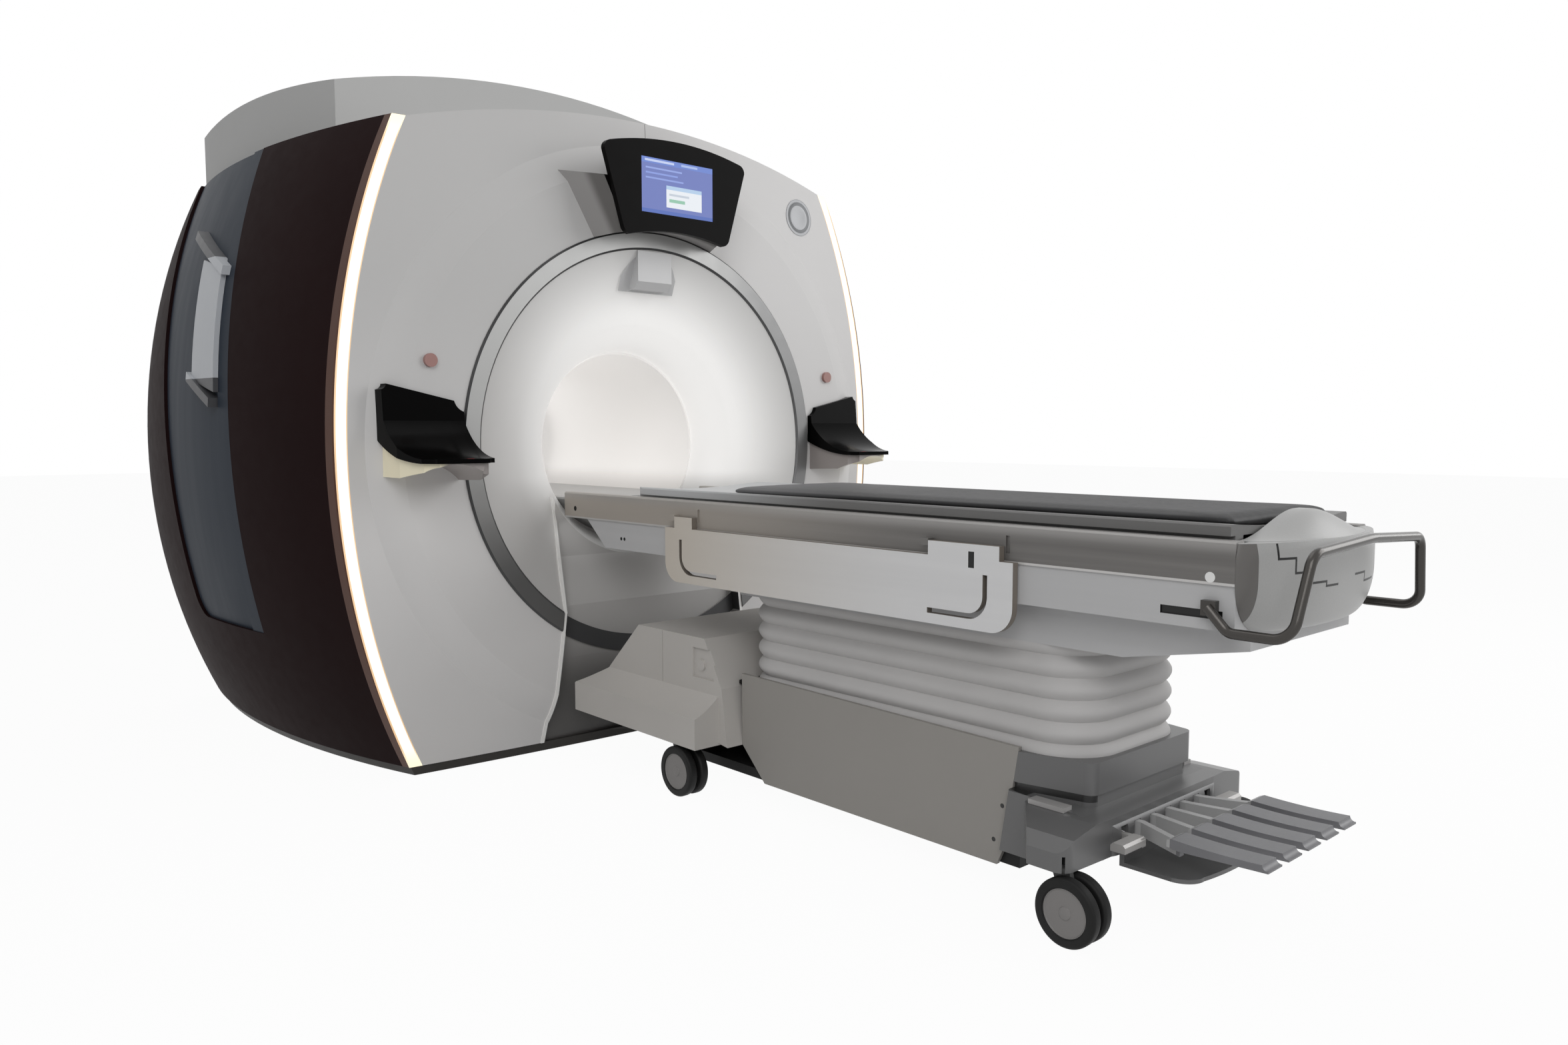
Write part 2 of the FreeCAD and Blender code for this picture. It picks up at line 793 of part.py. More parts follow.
def hump(inward):
    rear = rear_inner - 15
    front_half = mm.hump_half_front - inward
    rear_half = mm.hump_half_rear - inward
    shoulder = mm.shoulder_height + mm.hump_shoulder_rise - inward
    crown = mm.shoulder_height + mm.hump_crown_rise - inward
    return Part.makeLoft([
        hump_section(inward - mm.hump_front, front_half, shoulder, crown),
        hump_section(rear / 3, (front_half + 2 * rear_half) / 3 + 14, shoulder + 2, crown),
        hump_section(rear - inward, rear_half, shoulder - 55, crown - 50),
    ], True, False)


def top_cover():
    """The light moulded cover over the turret: it widens to the rear and sits on the roof."""
    shell = hump(0).cut(hump(mm.hump_wall))
    for side in (-1, 1):
        corner = sorted((side * (mm.hump_half_rear - 15), side * FAR))
        shell = shell.cut(block(corner, (-FAR, FAR), (0, mm.shoulder_height + 0.3)))
    return shell.cut(slab_y(arch(0, 0), -FAR, FAR))


def rear_cover():
    """The flat rear cover and its flare, moulded in one."""
    outline = slab_y(arch(0, mm.plinth_height), rear_inner, mm.rear_depth).common(core(0))
    rim = mm.rear_flare_radius
    hole = bore_turn([(0, 0), (rim, 0), (rim, FAR), (0, FAR)])
    end = mm.liner_length / 2
    rear_flare = bore_turn([
        (mm.bore_radius, end), (mm.bore_radius + mm.flare_wall, end),
        (mm.coil_radius - 12, mm.magnet_length / 2 + 1), (rim, rear_inner), (rim, mm.rear_depth),
        (rim - 70, mm.rear_depth - 60), (mm.bore_radius + 25, end + 130),
    ])
    return outline.cut(hole).fuse(rear_flare).removeSplitter()


keep("roof_panel", shaped("roof_panel", roof_panel()))
keep("top_cover", shaped("top_cover", top_cover()))
keep("rear_cover", shaped("rear_cover", rear_cover()))


# %% Monitor, positioning light, hand panels and stop buttons

def monitor_housing():
    """A flared neck on the front cover that carries a wide, crowned bezel."""
    seat = mm.front_depth - 40
    face = mm.front_depth + mm.monitor_depth
    ring_gap = mm.ring_outer + 2
    back_half = 280
    back_foot = mm.iso_height + math.sqrt(ring_gap ** 2 - back_half ** 2)
    hollow = ring_gap - (back_foot - mm.iso_height)
    half_top, half_foot = mm.monitor_half_top, mm.monitor_half_foot
    foot, top = mm.monitor_foot, mm.monitor_top

    def bezel_section(y):
        outline = [
            (20 - half_foot, foot, 26), (half_foot - 20, foot, -4), (half_foot + 5, foot + 22),
            (half_top - 5, top - 26, -6), (half_top - 26, top + 3, -36), (26 - half_top, top + 3, -6),
            (5 - half_top, top - 26), (-half_foot - 5, foot + 22, -4),
        ]
        return wire(outline, lambda x, z: Vector(x, y, z))

    def neck_section(y, foot_half, top_half, low, high, rise):
        outline = [(-foot_half, low, rise), (foot_half, low), (top_half, high), (-top_half, high)]
        return wire(outline, lambda x, z: Vector(x, y, z))

    front = neck_section(22 - face, half_foot - 22, half_top - 18, foot + 14, top - 112, 22)
    back = neck_section(-seat, back_half, half_top + 98, back_foot, top - 84, hollow)
    neck = Part.makeLoft([front, back], True, True).cut(front_solid(0))
    bezel = Part.makeLoft([bezel_section(-face), bezel_section(22 - face)], True, True)
    screen = block((-mm.screen_half_width, mm.screen_half_width), (-face, 10 - face),
                   (mm.screen_foot, mm.screen_top))
    ring_face = -mm.front_depth - mm.ring_proud - 0.3
    ring_edge = mm.ring_outer + 0.3
    ring_room = bore_turn([(0, ring_face), (ring_edge, ring_face), (ring_edge, 0), (0, 0)])
    return bezel.fuse(neck).removeSplitter().cut(screen).cut(ring_room)


keep("monitor_housing", shaped("monitor_housing", monitor_housing()))
screen_y = -dim.front_depth - dim.monitor_depth
keep("monitor_screen", box(
    "monitor_screen", (-dim.screen_half_width, dim.screen_half_width), (screen_y + 2, screen_y + 10),
    (dim.screen_foot, dim.screen_top)))


def alignment_light():
    """The positioning light's housing at the top of the flare."""
    top = mm.iso_height + mm.ring_inner - 6
    foot = top - 146
    front = -mm.front_depth - 4
    nose = [(0, top), (front, top), (front, foot + 34), (front + 26, foot + 6), (0, foot + 6)]
    base = [(0, top), (front + 6, top), (front + 62, foot), (0, foot)]
    flare_back = bore_turn([
        (0, mm.flare_depth - mm.front_depth + 400),
        (mm.flare_throat - 40, mm.flare_depth - mm.front_depth + 20),
        (mm.flare_throat, mm.flare_depth - mm.front_depth),
        (mm.ring_inner, -mm.front_depth), (FAR / 2, -mm.front_depth), (FAR / 2, FAR), (0, FAR)])
    return slab_x(nose, -76, 76).fuse(slab_x(base, -124, 124)).removeSplitter().cut(flare_back)


keep("alignment_light", shaped("alignment_light", alignment_light()))


def panel_plan(inward, reach):
    """A hand panel's plan in (x, y): it narrows to the front, with rounded corners."""
    inner, outer = mm.panel_inner + inward, mm.panel_outer - inward
    back, front = -mm.front_depth + 60, -mm.front_depth - reach
    turn = 34
    return [
        (-outer, back), (-outer, front + 150), (-outer + 26, front + turn, 8),
        (-outer + 26 + turn, front), (-inner - 8 - turn, front, 10), (-inner - 8, front + turn),
        (-inner, back),
    ]


def tray_edge():
    """The curve, in (y, z), on which a hand panel's tray lies on its housing, from the cover out."""
    return [(60 - mm.front_depth, mm.panel_height + 74, 24),
            (-mm.front_depth - mm.panel_reach, mm.panel_height - 14)]


def panel_fascia_left():
    """A glossy sheet that stands against the cover and sweeps forward into a tray."""
    tray = mm.panel_height
    top = tray + mm.panel_back_height
    back, front = -mm.front_depth, -mm.front_depth - mm.panel_reach
    profile = tray_edge() + [
        (front, tray, -34), (back - 24, tray + 118), (back - 14, top), (back + 60, top),
    ]
    inner, outer = mm.panel_inner, mm.panel_outer
    face = [
        (-outer, tray - 20), (-inner, tray - 20), (-inner, top - 86, 7), (-inner - 34, top - 50),
        (-outer + 16, top, 4), (-outer, top - 18),
    ]
    plan = slab_z(panel_plan(0, mm.panel_reach), tray - 20, top)
    sheet_metal = plan.common(slab_x(profile, -outer, 0)).common(slab_y(face, -FAR, 0))
    return sheet_metal.cut(front_solid(0))


def panel_housing_left():
    """The pale housing below a hand panel, with a bowed belly that sweeps back to the cover."""
    tray = mm.panel_height
    back, front = -mm.front_depth, -mm.front_depth - mm.panel_reach
    profile = tray_edge() + [(front, tray - 34), (back - 90, tray - 96, 12), (back + 60, tray - 118)]
    inner, outer = mm.panel_inner + 14, mm.panel_outer - 14
    face = [(-outer, tray - 60, 52), (-inner, tray - 78), (-inner, tray + 100), (-outer, tray + 100)]
    plan = slab_z(panel_plan(14, mm.panel_reach - 14), tray - 200, tray + 100)
    belly = plan.common(slab_x(profile, -mm.panel_outer, 0)).common(slab_y(face, -FAR, 0))
    return belly.cut(front_solid(0))


fascia_left = keep("panel_fascia_left", shaped("panel_fascia_left", panel_fascia_left()))
keep("panel_fascia_right", mirrored("panel_fascia_right", fascia_left))
housing_left = keep("panel_housing_left", shaped("panel_housing_left", panel_housing_left()))
keep("panel_housing_right", mirrored("panel_housing_right", housing_left))

button_start = -dim.front_depth - dim.button_radius * 0.6
for side, x in (("left", -dim.button_x), ("right", dim.button_x)):
    keep(f"stop_button_{side}", rod(
        f"stop_button_{side}", "y", dim.button_radius, (x, button_start, dim.button_z),
        dim.button_radius * 1.4))


# %% Table top: rails, pan, foot cap and push handle

rail_foot, rail_head = -dim.table_foot, -dim.table_head
ledge_inner = dim.table_half - 90
rail_inner = dim.table_half - dim.rail_wall
hinge_x = dim.table_half + dim.guard_gap + dim.guard_thickness / 2
tab_spans = ((dim.guard_head + 50, 90), (dim.guard_foot - 260, 220))
lug_length = 24


def side_rail_left():
    """An extruded rail with an inner ledge for the cradle and two lugs for the side guard."""
    ledge_foot = dim.bridge_top - 14
    rail = padded("rail_left", "y", (rail_foot, rail_head), [
        (-dim.table_half, dim.rail_bottom), (-rail_inner, dim.rail_bottom),
        (-rail_inner, ledge_foot), (-ledge_inner, ledge_foot), (-ledge_inner, dim.bridge_top),
        (-rail_inner, dim.bridge_top), (-rail_inner, dim.rail_top - 3),
        (-rail_inner - 3, dim.rail_top), (-dim.table_half + 5, dim.rail_top),
        (-dim.table_half, dim.rail_top - 5),
    ])
    lugs, holes = [], []
    for index, (start, length) in enumerate(tab_spans):
        lug_foot = -start + 0.3
        lugs.append(box(
            f"rail_lug_{index}", (-hinge_x - dim.guard_thickness / 2, -dim.table_half),
            (lug_foot, lug_foot + lug_length), (dim.hinge_height - 9, dim.hinge_height + 9)))
        holes.append(rod(
            f"rail_lug_hole_{index}", "y", dim.hinge_radius + dim.running_fit,
            (-hinge_x, lug_foot - 1, dim.hinge_height), lug_length + 2))
        holes.append(box(
            f"rail_slot_{index}", (-dim.table_half - 1, -dim.table_half + 5),
            (-start - length - 16, -start - length - 4),
            (dim.hinge_height - 12, dim.hinge_height + 30)))
    return cut("side_rail_left", fuse("rail_with_lugs", rail, *lugs), *holes)


rail_left = keep("side_rail_left", side_rail_left())
keep("side_rail_right", mirrored("side_rail_right", rail_left))


def side_guard_left():
    """A hanging guard board with a hooked hand slot at each end, on two hinge pins."""
    head, foot = -dim.guard_head, -dim.guard_foot
    low, high = dim.guard_bottom, dim.guard_top
    tab_top = dim.hinge_height + dim.hinge_radius
    (head_tab, head_length), (foot_tab, foot_length) = tab_spans
    turn = 64
    bow = -turn * 0.2929
    board_outline = [
        (foot, low + turn, bow), (foot + turn, low), (head - turn, low, bow),
        (head, low + turn), (head, high), (-head_tab, high), (-head_tab, tab_top),
        (-head_tab - head_length, tab_top), (-head_tab - head_length, high),
        (-foot_tab, high), (-foot_tab, tab_top), (-foot_tab - foot_length, tab_top),
        (-foot_tab - foot_length, high), (foot, high),
    ]
    slots = []
    for end, way in ((head, -1), (foot, 1)):
        near, far, width = 74, 262, 14
        bend = 58
        outer_bow = -bend * 0.2929 * way
        inner_bow = (bend - width) * 0.2929 * way
        slots.append([
            (end + way * near, high - 36), (end + way * near, low + 26 + bend, outer_bow),
            (end + way * (near + bend), low + 26), (end + way * far, low + 26),
            (end + way * far, low + 26 + width),
            (end + way * (near + bend), low + 26 + width, inner_bow),
            (end + way * (near + width), low + 26 + bend), (end + way * (near + width), high - 36),
        ])
    board = padded(
        "guard_board", "x", (-hinge_x - dim.guard_thickness / 2, -hinge_x + dim.guard_thickness / 2),
        board_outline, *slots)
    pins = [
        rod(f"guard_pin_{index}", "y", dim.hinge_radius, (-hinge_x, -start - 10, dim.hinge_height),
            lug_length + 4)
        for index, (start, length) in enumerate(tab_spans)
    ]
    return fuse("side_guard_left", board, *pins)


guard_left = keep("side_guard_left", side_guard_left())
keep("side_guard_right", mirrored("side_guard_right", guard_left))

pan_half = dim.table_half - 5
sheet_wall = dim.cover_sheet
column_inner = dim.column_half - dim.running_fit
lift_clearance = 20
base_floor = dim.base_bottom + 4
base_floor_top = base_floor + 30


def top_frame():
    """The pan below the rails, its skirt round the bellows' top, and the lift's inner column."""
    pan = padded("pan", "x", (-pan_half, pan_half), [
        (rail_foot, dim.pan_bottom), (-dim.cradle_head + 118, dim.pan_bottom),
        (-dim.cradle_head + 232, dim.rail_bottom), (rail_foot, dim.rail_bottom),
    ])
    pan_room = box("pan_room", (sheet_wall - pan_half, pan_half - sheet_wall),
                   (rail_foot + sheet_wall, -dim.cradle_head + 90),
                   (dim.pan_bottom + sheet_wall, dim.rail_bottom + 1))
    half = dim.bellows_half
    skirt = padded("skirt", "x", (-half, half), [
        (rail_foot, dim.pan_bottom - 48), (-dim.bellows_foot - 94, dim.skirt_bottom),
        (-dim.bellows_head, dim.skirt_bottom), (-dim.bellows_head, dim.pan_bottom + 1),
        (rail_foot, dim.pan_bottom + 1),
    ])
    skirt_room = box("skirt_room", (sheet_wall - half, half - sheet_wall),
                     (-dim.bellows_foot + sheet_wall, -dim.bellows_head - sheet_wall),
                     (dim.skirt_bottom - 1, dim.pan_bottom))
    column_foot = base_floor_top + dim.lift_range + lift_clearance
    column = box("inner_column", (-column_inner, column_inner),
                 (-dim.column_y - column_inner, -dim.column_y + column_inner),
                 (column_foot, dim.pan_bottom + 1))
    slots = [
        box(f"handle_slot_{index}", (side * pan_half - 3, side * pan_half + 3),
            (rail_foot + 27, rail_foot + 164), (dim.pan_bottom + 24, dim.pan_bottom + 40))
        for index, side in enumerate((-1, 1))
    ]
    shell = cut("pan_shell", fuse("pan_blank", pan, skirt), pan_room, skirt_room, *slots)
    return fuse("top_frame", shell, column)


keep("top_frame", top_frame())


def foot_cap():
    """The rounded cap over the foot end: an arched crown, and a stepped joint line on its face."""
    half, deep = mm.table_half, 92
    foot, top = mm.pan_bottom - 8, mm.rail_top - 4
    face = [
        (30 - half, foot), (half - 30, foot, -9), (half, foot + 32), (half, top - 18, -5),
        (half - 18, top), (176, top, -56), (-176, top), (18 - half, top, -5), (-half, top - 18),
        (-half, foot + 32, -9),
    ]
    start = -mm.table_foot

    def cap_plan(inward):
        return slab_z([(-half, start + 1), (-half, start, inward - deep), (half, start),
                       (half, start + 1)], foot - 1, top + 100)

    steps = [(-208, top), (-208, top - 34), (-176, top - 34), (-176, top - 78), (-132, top - 78),
             (-132, top - 104), (-96, top - 104)]
    groove = 3
    line = []
    for side in (-1, 1):
        for (x, z), (next_x, next_z) in zip(steps, steps[1:]):
            spans = sorted((-side * x, -side * next_x)), sorted((z, next_z))
            line.append(block((spans[0][0] - groove / 2, spans[0][1] + groove / 2), (start - 200, start),
                              (spans[1][0] - groove / 2, spans[1][1] + groove / 2)))
    nose = slab_x([
        (start, foot), (start, top + 60), (start - 26, top + 60, 14), (start - deep - 4, top - 20),
        (start - deep - 4, foot + 46, 12), (start - deep + 42, foot)], -half, half)
    body = slab_y(face, start - 200, start).common(cap_plan(0)).common(nose)
    skin = body.cut(cap_plan(3))
    return body.cut(skin.common(Part.Compound(line)))


keep("foot_cap", shaped("foot_cap", foot_cap()))


def push_handle():
    """A bent tube loop; each lower end turns up to a small block on the pan's side."""
    half = mm.handle_half
    back = -mm.table_foot
    reach = back - mm.handle_reach
    side = mm.table_half + mm.handle_radius + 0.5
    low, high = mm.handle_foot, mm.handle_top
    corners = [
        Vector(-side, back + 52, low + 48), Vector(-side, back + 6, low), Vector(-side, reach, low),
        Vector(-half, reach - 12, high), Vector(0, reach - 14, high + 14),
        Vector(half, reach - 12, high), Vector(side, reach, low), Vector(side, back + 6, low),
        Vector(side, back + 52, low + 48),
    ]
    bends = [30, 44, 40, 400, 40, 44, 30]
    edges, here = [], corners[0]
    for before, corner, after, bend in zip(corners, corners[1:], corners[2:], bends):
        into = (corner - before).normalize()
        out = (after - corner).normalize()
        turn = into.getAngle(out)
        setback = bend * math.tan(turn / 2)
        start, stop = corner - into * setback, corner + out * setback
        inward = (out - into).normalize()
        centre = corner + inward * (bend / math.cos(turn / 2))
        edges.append(Part.LineSegment(here, start).toShape())
        edges.append(Part.Arc(start, centre - inward * bend, stop).toShape())
        here = stop
    edges.append(Part.LineSegment(here, corners[-1]).toShape())
    circle = Part.Circle(corners[0], corners[1] - corners[0], mm.handle_radius)
    pipe = Part.Wire(edges).makePipeShell([Part.Wire(circle.toShape())], True, False)
    pan_side = mm.table_half - 5 + 0.3
    block_y = (back + 34, back + 66)
    blocks = [block(x, block_y, (low + 30, low + 62)) for x in ((-side, -pan_side), (pan_side, side))]
    return pipe.fuse(blocks).removeSplitter()


keep("push_handle", shaped("push_handle", push_handle()))


# %% Cradle and its pad

deck_bottom = dim.cradle_deck
deck_top = dim.cradle_deck + dim.cradle_thickness + 6
runner_outer = dim.cradle_half - 20
runner_inner = runner_outer - 35
runner_foot = dim.bridge_top + 0.3
hollow = 14
cradle_foot = dim.table_foot - 30

cradle_section = padded("cradle_section", "y", (-cradle_foot, -dim.cradle_head), [
    (-dim.cradle_half, deck_bottom), (-runner_outer, deck_bottom), (-runner_outer, runner_foot),
    (-runner_inner, runner_foot), (-runner_inner, deck_bottom), (runner_inner, deck_bottom),
    (runner_inner, runner_foot), (runner_outer, runner_foot), (runner_outer, deck_bottom),
    (dim.cradle_half, deck_bottom), (dim.cradle_half, deck_top - 4), (dim.cradle_half - 4, deck_top),
    (dim.cradle_half - 24, deck_top, hollow), (24 - dim.cradle_half, deck_top),
    (4 - dim.cradle_half, deck_top), (-dim.cradle_half, deck_top - 4),
])
nose = 70
cradle_plan = padded("cradle_plan", "z", (runner_foot - 1, deck_top + 1), [
    (-dim.cradle_half, -cradle_foot), (dim.cradle_half, -cradle_foot),
    (dim.cradle_half, -dim.cradle_head - nose, -nose * 0.2929),
    (dim.cradle_half - nose, -dim.cradle_head), (nose - dim.cradle_half, -dim.cradle_head,
                                                 -nose * 0.2929),
    (-dim.cradle_half, -dim.cradle_head - nose),
])
keep("cradle", common("cradle", cradle_section, cradle_plan))


def cradle_pad():
    """A thin cushion that lies in the hollow deck: crowned, with drawn-in sides and ends."""
    rest = 0.3
    deck = mm.cradle_deck + mm.cradle_thickness + 6
    half = mm.cradle_half - 34
    chord = mm.cradle_half - 24
    radius = (chord ** 2 + hollow ** 2) / (2 * hollow)

    def floor(x):
        return deck + rest - hollow + radius - math.sqrt(radius ** 2 - x ** 2)

    def section(y, drawn, height):
        side = half - drawn
        low = floor(side)
        outline = [
            (-side, low, floor(0) - low), (side, low, -height / 4), (side - 3, low + height, -4),
            (3 - side, low + height, -height / 4),
        ]
        return wire(outline, lambda x, z: Vector(x, y, z))

    full = mm.pad_thickness - hollow + 3
    foot, head = 46 - mm.table_foot, -mm.pad_head
    sections = [
        section(foot, 26, full * 0.45), section(foot + 9, 9, full * 0.78), section(foot + 26, 0, full),
        section(head - 26, 0, full), section(head - 9, 9, full * 0.78), section(head, 26, full * 0.45),
    ]
    return Part.makeLoft(sections, True, True)


keep("cradle_pad", shaped("cradle_pad", cradle_pad()))


# %% Table base: chassis, lower covers and bellows

base_inner = dim.base_half - dim.cover_sheet
outrigger_top = dim.outrigger_height + dim.arm_thickness
tube_outer = dim.column_half + dim.column_wall
stem_head = -dim.caster_head + dim.caster_trail
stem_foot = -dim.caster_foot + dim.caster_trail
pad_half = 60
foot_pad = 25
wing = dim.caster_x + 18
web = 28
hub_half = 12
dock_face = dim.front_depth - 20


def chassis():
    """A welded base: floor plate, deck, lift tube, caster arms, pedal shaft and docking nose."""
    plate = box("chassis_plate", (-base_inner, base_inner), (-dim.base_joint, stem_head + pad_half),
                (base_floor, base_floor_top))
    nose_piece = box("chassis_nose", (-base_inner * 0.8, base_inner * 0.8),
                     (stem_head + pad_half, -dock_face - 0.3), (base_floor, base_floor + 80))
    deck = box("chassis_deck", (-base_inner, base_inner), (-dim.base_joint + 4, -dim.bellows_head),
               (dim.base_deck - 12, dim.base_deck))
    tube_blank = box("lift_tube", (-tube_outer, tube_outer),
                     (-dim.column_y - tube_outer, -dim.column_y + tube_outer),
                     (base_floor_top, dim.base_deck + 150))
    tube_room = box("lift_tube_room", (-dim.column_half, dim.column_half),
                    (-dim.column_y - dim.column_half, -dim.column_y + dim.column_half),
                    (base_floor_top, dim.base_deck + 151))
    head_arm = box("head_arm", (-wing, wing), (stem_head - pad_half, stem_head + pad_half),
                   (dim.outrigger_height, outrigger_top))
    head_web = box("head_web", (-base_inner * 0.35, base_inner * 0.35),
                   (stem_head - pad_half, stem_head + pad_half),
                   (base_floor_top, dim.outrigger_height))
    frame = [plate, nose_piece, deck, tube_blank, head_arm, head_web]
    for side in (-1, 1):
        word = "left" if side < 0 else "right"
        span = sorted((side * base_inner, side * (base_inner - web)), key=float)
        frame.append(box(f"foot_beam_{word}", span, (stem_foot - foot_pad, -dim.base_joint + web),
                         (dim.outrigger_height - web, outrigger_top)))
        frame.append(box(f"foot_web_{word}", span, (-dim.base_joint, -dim.base_joint + web),
                         (base_floor, outrigger_top)))
        span = sorted((side * wing, side * (base_inner - web)), key=float)
        frame.append(box(f"foot_arm_{word}", span, (stem_foot - foot_pad, stem_foot + foot_pad),
                         (dim.outrigger_height, outrigger_top)))
    frame.append(rod("pedal_shaft", "x", dim.shaft_radius, (-base_inner, -dim.shaft_y, dim.shaft_z),
                     base_inner * 2))
    holes = [
        rod(f"stem_hole_{index}", "z", dim.stem_radius + dim.running_fit,
            (x, y, dim.outrigger_height - 1), dim.arm_thickness + 2)
        for index, (x, y) in enumerate(
            (x, y) for x in (-dim.caster_x, dim.caster_x) for y in (stem_head, stem_foot))
    ]
    return cut("chassis", fuse("chassis_blank", *frame), tube_room, *holes)


keep("chassis", chassis())

lower_left = keep("lower_cover_left", padded(
    "lower_cover_left", "x", (-dim.base_half, -base_inner), [
        (-dim.base_joint + 62, dim.base_bottom), (-dim.base_head - 106, dim.base_bottom),
        (-dim.base_head, dim.base_bottom + 104), (-dim.base_head, dim.base_deck + 26),
        (-dim.base_joint, dim.base_deck + 10), (-dim.base_joint + 44, dim.base_bottom + 40),
    ]))
keep("lower_cover_right", mirrored("lower_cover_right", lower_left))


def rounded_plan(half, foot, head, turn):
    """A rectangle in (x, y) with quarter-round corners."""
    bow = -turn * (1 - math.cos(math.pi / 4))
    return [
        (-half + turn, foot), (half - turn, foot, bow), (half, foot + turn), (half, head - turn, bow),
        (half - turn, head), (turn - half, head, bow), (-half, head - turn), (-half, foot + turn, bow),
    ]


def bellows():
    """The ribbed sleeve between the base and the skirt: one fold for each pitch of its height."""
    low, high = mm.base_deck, mm.skirt_bottom
    step = (high - low) / (2 * mm.fold_count)
    wall = 4

    def sleeve(inward, levels):
        wires = []
        for level in range(levels):
            depth = 0 if level % 2 else mm.fold_depth
            shrink = inward + mm.fold_depth - depth
            plan = rounded_plan(
                mm.bellows_half - shrink, -mm.bellows_foot + shrink, -mm.bellows_head - shrink,
                mm.bellows_corner - shrink)
            height = low + level * step
            wires.append(wire(plan, lambda x, y: Vector(x, y, height)))
        return Part.makeLoft(wires, True, True)

    levels = 2 * mm.fold_count + 1
    return sleeve(0, levels).cut(sleeve(wall, levels))


keep("bellows", shaped("bellows", bellows()))


def head_base_cover():
    """The white hood at the table's head: a wide step over the casters and a tower behind it."""
    step_top, step_foot = 264, mm.wheel_radius * 2 + 7
    step_half = mm.caster_x + 34
    near, far = -970, -mm.caster_head - 98
    tower_half = mm.table_half
    tower_foot = 322
    tower_top = mm.skirt_bottom - mm.lift_range - 4

    def hood(inward):
        step = [
            (-step_half + inward, far + inward), (step_half - inward, far + inward),
            (step_half - 12 - inward, near - inward, -14 + inward / 4),
            (12 + inward - step_half, near - inward),
        ]
        slope = [
            (-step_half, step_foot), (step_half, step_foot), (step_half, step_top - inward, 6),
            (tower_half, tower_foot - inward), (-tower_half, tower_foot - inward, 6),
            (-step_half, step_top - inward),
        ]
        brow = [
            (near, step_foot), (near, step_top - inward), (near - 96, tower_foot - inward),
            (far, tower_foot - inward), (far, step_foot),
        ]
        lower = slab_z(step, step_foot, tower_foot).common(slab_y(slope, 2 * far, near))
        side = [
            (near - 94 - inward, tower_foot - 60), (near - 94 - inward, tower_foot),
            (near - 276 - inward, tower_top - inward), (far + 68, tower_top - inward),
            (-mm.bellows_head + 0.5 + inward, mm.base_deck - 20),
            (-mm.base_head + inward, step_foot),
        ]
        tower = slab_x(side, inward - tower_half, tower_half - inward)
        return lower.common(slab_x(brow, -step_half, step_half)).fuse(tower)

    wall = mm.cover_sheet
    shell = hood(0).cut(hood(wall))
    tail = block((-mm.base_half - 0.2, mm.base_half + 0.2), (-FAR, -mm.base_head), (0, mm.base_deck + 28))
    recess_y, recess_z, knob = (-1650, -1545), (366, 462), 17
    details = []
    knobs = []
    for side in (-1, 1):
        face = side * tower_half
        details.append(block(sorted((face, face - side * 8)), recess_y, recess_z))
        details.append(block(sorted((face, face - side * 2)), (-1383, -1380), (tower_foot, FAR)))
        centre = Vector(face - side * 8, sum(recess_y) / 2 + 12, sum(recess_z) / 2 - 6)
        knobs.append(Part.makeCylinder(knob, 7, centre, Vector(side, 0, 0)))
        stem = Vector(side * mm.caster_x, mm.caster_trail - mm.caster_head, 0)
        details.append(Part.makeCylinder(30, mm.outrigger_height + 1, stem))
    return shell.cut(tail).cut(Part.Compound(details)).fuse(knobs).removeSplitter()


keep("head_base_cover", shaped("head_base_cover", head_base_cover()))


